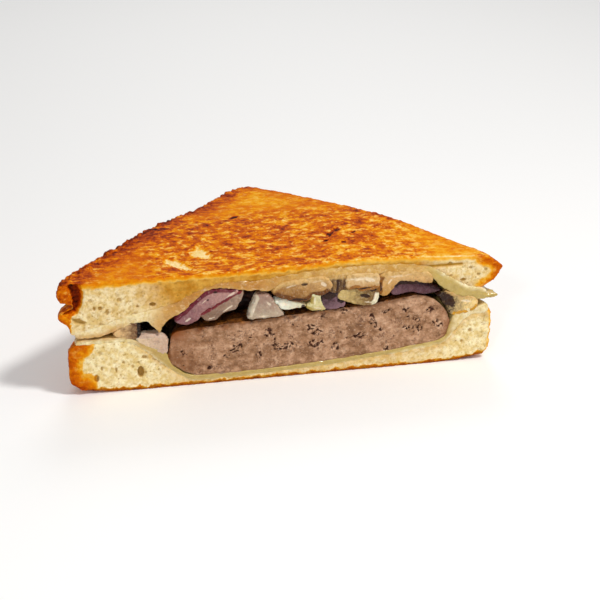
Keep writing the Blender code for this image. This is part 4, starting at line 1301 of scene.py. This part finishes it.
# Dark and light marks on the pieces: kind, x, z, half length, half width, slope. The light marks are painted
# highlights; the dark marks are partly specks and gills and partly painted shade under, between and inside
# pieces.
DABS = {
    "red_onion_1": (
        ("dark", -28.0, 39.0, 0.8, 0.5), ("dark", -31.0, 36.0, 0.5, 0.4),
        ("light", -22.0, 37.4, 1.8, 0.5, 35), ("light", -32.6, 35.4, 1.2, 0.3, 40),
        ("light", -39.0, 28.4, 1.4, 0.4, 30),
    ),
    "red_onion_2": (("light", -23.4, 31.5, 2.4, 0.3, 30), ("light", -29.6, 28.1, 1.4, 0.3, 10)),
    "white_onion_1": (
        ("light", -13.0, 30.0, 1.3, 0.4, 75), ("light", -7.0, 32.4, 1.0, 0.5, -40),
        ("light", -9.0, 27.3, 2.4, 0.3),
    ),
    "white_onion_2": (("light", -0.8, 31.4, 2.8, 0.9, -10), ("dark", 6.7, 30.0, 0.8, 0.6)),
    "white_onion_3": (("light", 11.5, 32.0, 1.8, 0.5, 90), ("light", 12.6, 28.8, 1.6, 0.4, -10)),
    "red_onion_3": (("dark", 17.4, 33.2, 2.8, 1.3),),
    "red_onion_4": (("dark", 49.0, 36.2, 5.5, 0.8, -3),),
    "mushroom_1": (
        ("dark", 32.0, 32.2, 2.4, 0.8, -10), ("dark", 35.0, 34.4, 1.4, 0.6),
        ("light", 36.0, 31.4, 2.2, 0.6, 80), ("light", 33.0, 29.4, 2.0, 0.3, -12),
    ),
    "mushroom_2": (("dark", 66.6, 27.4, 3.4, 2.0, -60), ("light", 74.0, 26.2, 2.2, 0.6, -8)),
    "mushroom_4": (
        ("dark", 7.2, 39.6, 1.5, 0.6, 10), ("light", 11.6, 40.4, 3.0, 0.5),
        ("light", 15.0, 38.6, 1.5, 0.9, -40), ("dark", 4.4, 33.1, 3.6, 0.5),
        ("light", 2.0, 39.2, 2.4, 0.4, 15),
    ),
    "mushroom_5": (("dark", 20.7, 38.0, 2.6, 0.5, 90),),
    "mushroom_6": (
        ("light", 28.6, 40.0, 3.2, 0.8), ("light", 33.6, 39.2, 2.2, 0.9, -20),
        ("dark", 31.0, 35.7, 4.0, 0.3),
    ),
    "mushroom_7": (
        ("light", 47.0, 39.6, 5.0, 0.5, 3), ("dark", 38.2, 35.6, 1.6, 0.4, 90),
        ("light", 42.0, 37.6, 1.2, 0.6, 50)
    ),
}
PIECE_DEPTH = 5.4
SQUEEZE_GAP = -0.7
LEAST_HEIGHT = 0.8
OUTLINE_STEPS = 8
FRONT_ROUNDING = 0.4
COLOURED_EDGE = 1.1
# Mushrooms right of this x have a film of cheese over their tops.
FILM_FROM = -10.0


def round_curve(corners, steps):
    """The smooth closed curve through the corners."""
    p = np.array(corners, float)
    before, after, beyond = np.roll(p, 1, axis=0), np.roll(p, -1, axis=0), np.roll(p, -2, axis=0)
    t = (np.arange(steps) / steps)[None, :, None]
    p, before, after, beyond = (v[:, None] for v in (p, before, after, beyond))
    curve = 0.5 * (
        2.0 * p + (after - before) * t + (2.0 * before - 5.0 * p + 4.0 * after - beyond) * t**2
        + (3.0 * p - before - 3.0 * after + beyond) * t**3
    )
    return curve.reshape(-1, 2)


def outwards(loop):
    """The direction out of the closed curve at each of its points."""
    ahead = np.roll(loop, -1, axis=0) - np.roll(loop, 1, axis=0)
    ahead /= np.hypot(*ahead.T)[:, None]
    after = np.roll(loop, -1, axis=0)
    area = np.sum(loop[:, 0] * after[:, 1] - loop[:, 1] * after[:, 0])
    return np.column_stack([ahead[:, 1], -ahead[:, 0]]) * np.sign(area)


def piece_shell(loop, out, front, under, grown):
    """The outline at the cut drawn back into the sandwich, held between what lies under and over it."""
    shell = Shell()
    rows = []
    for y in np.concatenate([np.linspace(0.0, FRONT_ROUNDING, 5), np.linspace(1.4, PIECE_DEPTH + front, 7)]):
        round_off = FRONT_ROUNDING - math.sqrt(FRONT_ROUNDING**2 - max(FRONT_ROUNDING - y, 0.0) ** 2)
        inset = round_off - grown - 0.4 * smooth(0.0, 1.6, y) + smooth(0.6, 1.0, y / (PIECE_DEPTH + front))
        drawn = loop - out * inset
        inside = np.full(len(loop), max(y - front, 0.0))
        low = under(drawn[:, 0], inside) + SQUEEZE_GAP
        high = cheese_ceiling(drawn[:, 0], inside) - SQUEEZE_GAP
        z = np.clip(drawn[:, 1], low, np.maximum(high, low + LEAST_HEIGHT))
        rows.append(shell.add(np.column_stack([drawn[:, 0], np.full(len(loop), y - front), z])))
    shell.cover(np.array([np.append(row, row[0]) for row in rows]))
    filled = np.array(tessellate_polygon([[Vector((u, v, 0.0)) for u, v in loop]]))
    for row in (rows[0], rows[-1]):
        shell.faces.append(row[filled])
    return shell


def cut_piece(name, look, slot):
    corners, front, edge_way, tone_way = PIECES[name]
    loop = round_curve(corners, OUTLINE_STEPS)
    out = outwards(loop)
    on_patty = abs(loop[:, 0].mean() - PATTY_X) < PATTY_HALF_CHORD - 5.0
    grown = 0.9 if slot == "mushroom" and on_patty else 0.4
    shell = piece_shell(loop, out, front, patty_top if on_patty else cheese_floor, grown)
    piece = shell.build("cut_" + name)
    remeshed(piece, PIECE_VOXEL, PIECE_SOFTENED)
    p, n = surface(piece)
    x, z = p[:, 0], p[:, 2]
    seed = 500 + 7 * list(PIECES).index(name)
    shift = 0.45 * fractal(p, 3.0, seed, 3) - 0.3 * smooth(0.1, 0.9, noise(p, 1.4, seed + 3))
    if name == "mushroom_1":
        shift -= 0.5 * spot(x, z, 31.2, 32.6, 2.9, 1.2, 4.0) * (n[:, 1] < -0.3)
    move_points(piece, p + n * shift[:, None])
    gap = ((p[:, None, [0, 2]] - loop[None]) ** 2).sum(axis=2)
    facing = out[gap.argmin(axis=1)] @ np.array(edge_way)
    rim = fall(0.4, COLOURED_EDGE + 0.4, np.sqrt(gap.min(axis=1))) * smooth(0.3, 0.8, facing)
    along = p[:, [0, 2]] @ np.array(tone_way)
    across = (along - along.min()) / (along.max() - along.min())
    # The light marks are painted highlights; the dark marks are partly painted shade.
    dabs = {"dark": np.zeros(len(p)), "light": np.zeros(len(p))}
    ragged = 0.35 * fractal(p, 1.6, seed + 5, 2)
    for kind, mark_x, mark_z, half_long, half_wide, *turn in DABS.get(name, ()):
        mark = spot(x, z, mark_x, mark_z, half_long, half_wide, *(turn or [0.0]), ragged)
        dabs[kind] = np.maximum(dabs[kind], mark * (n[:, 1] < -0.1))
    film = np.zeros(len(p))
    if slot == "mushroom" and x.min() > FILM_FROM:
        film = 0.9 * fall(0.0, 2.4, cheese_ceiling(x, film) - z)
    paint(piece, rim=rim, across=across, film=film, **dabs)
    ride(piece, look, slot, name)


HEAP_FRONT = 6.0
HOLLOW_X = -19.0
HEAP_REACH = 54.0
HEAP_TURNS = 105
HEAP_RINGS = 24


def heap_upper(x, y):
    lumpy = 0.7 * np.sin(0.31 * x + 1.0) * np.sin(0.37 * y)
    return np.minimum(cheese_ceiling(x, y) - 1.4, patty_top(x, y) + 9.5) + np.minimum(lumpy, 0.3)


def heap_lower(x, y):
    return patty_top(x, y) + 0.9


def heap_edge(turn, sine):
    """How far the heap reaches from the middle of its front, at each turn."""
    lumps = 1.3 * np.sin(9.0 * turn) + 0.9 * np.sin(17.0 * turn + 1.0)
    offset = HEAP_FRONT - PATTY_Y
    round_edge = np.sqrt((offset * sine) ** 2 + HEAP_REACH**2 + PATTY_Y**2 - offset**2) - offset * sine
    return round_edge + lumps - 1.2


def heap(look):
    """The heap of onion behind the pieces at the cut."""
    shell = Shell()
    turn = np.linspace(math.pi, 0.0, HEAP_TURNS)
    way = np.column_stack([np.cos(turn), np.sin(turn)])
    start = np.array([PATTY_X, HEAP_FRONT])
    edge = heap_edge(turn, way[:, 1])

    def side(height):
        middle = shell.add([[*start, float(height(np.array([start[0]]), np.array([start[1]]))[0])]])
        grid = [np.repeat(middle, len(turn))]
        for share in np.linspace(0.0, 1.0, HEAP_RINGS + 1)[1:]:
            place = start + way * (edge * share)[:, None]
            dent = 4.5 * bump(place[:, 0], HOLLOW_X, 7.0) - 1.2 * np.sin(0.45 * place[:, 0]) ** 2 + 1.2
            place[:, 1] += dent * np.exp((HEAP_FRONT - place[:, 1]) / 5.0)
            drop = 1.6 * smooth(0.85, 1.0, share)
            level = height(place[:, 0], place[:, 1])
            level = level - drop if height is heap_upper else level + 0.5 * drop
            grid.append(shell.add(np.column_stack([place, level])))
        return np.array(grid)

    top, bottom = side(heap_upper), side(heap_lower)
    points = shell.points()
    belly = 0.5 * (points[top[-1]] + points[bottom[-1]])
    belly[:, :2] += way * 1.2
    waist = shell.add(belly)
    for grid in (top, bottom, np.array([bottom[-1], waist, top[-1]])):
        shell.cover(grid)
    line_top = np.concatenate([top[:0:-1, 0], [top[0, 0]], top[1:, -1]])
    line_bottom = np.concatenate([bottom[:0:-1, 0], [bottom[0, 0]], bottom[1:, -1]])
    half = 0.5 * (points[line_top] + points[line_bottom])[1:-1]
    half[:, 1] -= 0.25 + 0.2 * np.sin(0.5 * half[:, 0])
    line_half = np.concatenate([[waist[0]], shell.add(half), [waist[-1]]])
    shell.cover(np.array([line_bottom, line_half, line_top]))
    piece = shell.build("filling")
    remeshed(piece, HEAP_VOXEL, HEAP_SOFTENED)
    p, n = surface(piece)
    strands = np.abs(noise(p * (0.5, 1.0, 1.0), 3.4, 611)) + 0.4 * np.abs(noise(p, 1.6, 617))
    move_points(piece, p + n * (1.3 * strands - 0.7)[:, None])
    ride(piece, look, "filling", "filling_heap")


# Each piece's material: its name, the tones at the piece's two ends, the tone of its coloured edge, how much
# of it glints and the tone of its stripes.
PIECE_LOOKS = {
    "red_onion_1": ("onion_mauve", (140, 94, 96), (184, 140, 132), (104, 28, 44), 0.2),
    "red_onion_2": ("onion_grey", (138, 108, 88), (166, 138, 118), (118, 34, 42), 0.2),
    # Painted shade on the onion's own dark tone: darker towards its top, under the pieces above.
    "red_onion_3": ("onion_dusk", (136, 102, 110), (46, 16, 22), (32, 8, 12), 0.06),
    # Painted shade on the onion's own dark tone: darker along its top, under the mushroom's arch.
    "red_onion_4": ("onion_deep", (112, 76, 84), (62, 22, 32), (36, 6, 12), 0.06),
    "red_onion_5": ("onion_pale_mauve", (226, 198, 164), (204, 172, 148), (208, 178, 156)),
    # Its pale coloured edge, on its left, is a painted highlight, as are its light marks.
    "white_onion_1": ("onion_grey_white", (188, 168, 144), (160, 128, 112), (210, 196, 172)),
    "white_onion_2": ("onion_white", (234, 234, 216), (222, 214, 180), (214, 196, 140)),
    "white_onion_3": ("onion_cream", (206, 190, 128), (226, 220, 172), (180, 156, 80)),
    "mushroom_1": ("mushroom_brown", (202, 174, 110), (120, 86, 44), (226, 216, 182)),
    # Painted shade: dark towards its left end, by the patty's shoulder, with a dark mark there too.
    "mushroom_2": ("mushroom_shaded_left", (44, 22, 10), (246, 212, 142), (206, 150, 44), 0.1),
    "mushroom_3": ("mushroom_shaded", (224, 184, 128), (104, 66, 40), (28, 14, 8), 0.15),
    "mushroom_4": ("mushroom_tan", (150, 102, 46), (206, 162, 102), (108, 62, 16)),
    "mushroom_5": ("mushroom_gills", (112, 78, 40), (160, 128, 80), (112, 78, 34), 0.3, (70, 40, 14)),
    "mushroom_6": ("mushroom_cream", (188, 140, 74), (232, 204, 158), (160, 104, 40)),
    "mushroom_7": ("mushroom_sand", (188, 138, 70), (220, 178, 118), (140, 84, 16)),
}


# Floor, light and camera, in metres.
GROUND_REACH = 3.0
GROUND_TONE = (252, 252, 252)
LAMP_AIM = (0.0, 0.0, 0.03)
# Lamps: name, place, diameter, power and tone.
LAMPS = (
    ("key", (0.35, -0.35, 0.8), 0.16, 5.2, (1.0, 0.98, 0.95)),
    ("back", (0.15, 0.7, 0.6), 0.4, 1.5, (1.0, 0.99, 0.97)),
    ("glint", (-0.3, -0.75, 0.45), 0.08, 1.2, (1.0, 1.0, 1.0)),
)
WORLD_STRENGTH = 0.37
SENSOR_WIDTH = 36.0


def ground():
    mesh = bpy.data.meshes.new("ground")
    corners = [(GROUND_REACH * x, GROUND_REACH * y, 0) for x, y in ((-1, -1), (1, -1), (1, 1), (-1, 1))]
    mesh.from_pydata(corners, [], [(0, 1, 2, 3)])
    mesh.materials.append(Look("ground").finish(colour(*GROUND_TONE), 0.6))
    link("ground", mesh)


def light():
    for name, place, size, power, tone in LAMPS:
        data = bpy.data.lights.new(name, "AREA")
        data.shape = "DISK"
        data.size = size
        data.energy = power
        data.color = tone
        lamp = link(name, data)
        lamp.location = place
        lamp.rotation_euler = (Vector(LAMP_AIM) - Vector(place)).to_track_quat("-Z", "Y").to_euler()
    world = bpy.data.worlds.new("studio")
    world.use_nodes = True
    world.node_tree.nodes["Background"].inputs["Color"].default_value = (1.0, 1.0, 1.0, 1.0)
    world.node_tree.nodes["Background"].inputs["Strength"].default_value = WORLD_STRENGTH
    bpy.context.scene.world = world


def look_on():
    turn, lift = math.radians(CAMERA_AZIMUTH), math.radians(CAMERA_ELEVATION)
    back = Vector((math.sin(turn) * math.cos(lift), -math.cos(turn) * math.cos(lift), math.sin(lift)))
    target = Vector((np.array(CAMERA_TARGET) - FRAME_ORIGIN) * MM)
    data = bpy.data.cameras.new("camera")
    data.sensor_width = SENSOR_WIDTH
    data.lens = 0.5 * SENSOR_WIDTH / math.tan(math.radians(CAMERA_FOV) / 2.0)
    camera = link("camera", data)
    camera.location = target + back * CAMERA_DISTANCE * MM
    camera.rotation_euler = (-back).to_track_quat("-Z", "Y").to_euler()
    bpy.context.scene.camera = camera
    bpy.context.scene.view_settings.view_transform = "Standard"


def main():
    net = Net()
    bread = bread_look()
    top_slice(net, bread)
    bottom_slice(net, bread)
    melt_top(net, cheese_look("melted_cheese_top", (222, 182, 106), (198, 148, 66)))
    melt_bottom(net, cheese_look("melted_cheese_bottom", (208, 176, 106), (184, 148, 76)))
    beef(net, beef_look())
    heap(heap_look())
    for name, tones in PIECE_LOOKS.items():
        cut_piece(name, piece_look(*tones), name.rsplit("_", 1)[0])
    ground()
    light()
    look_on()


main()
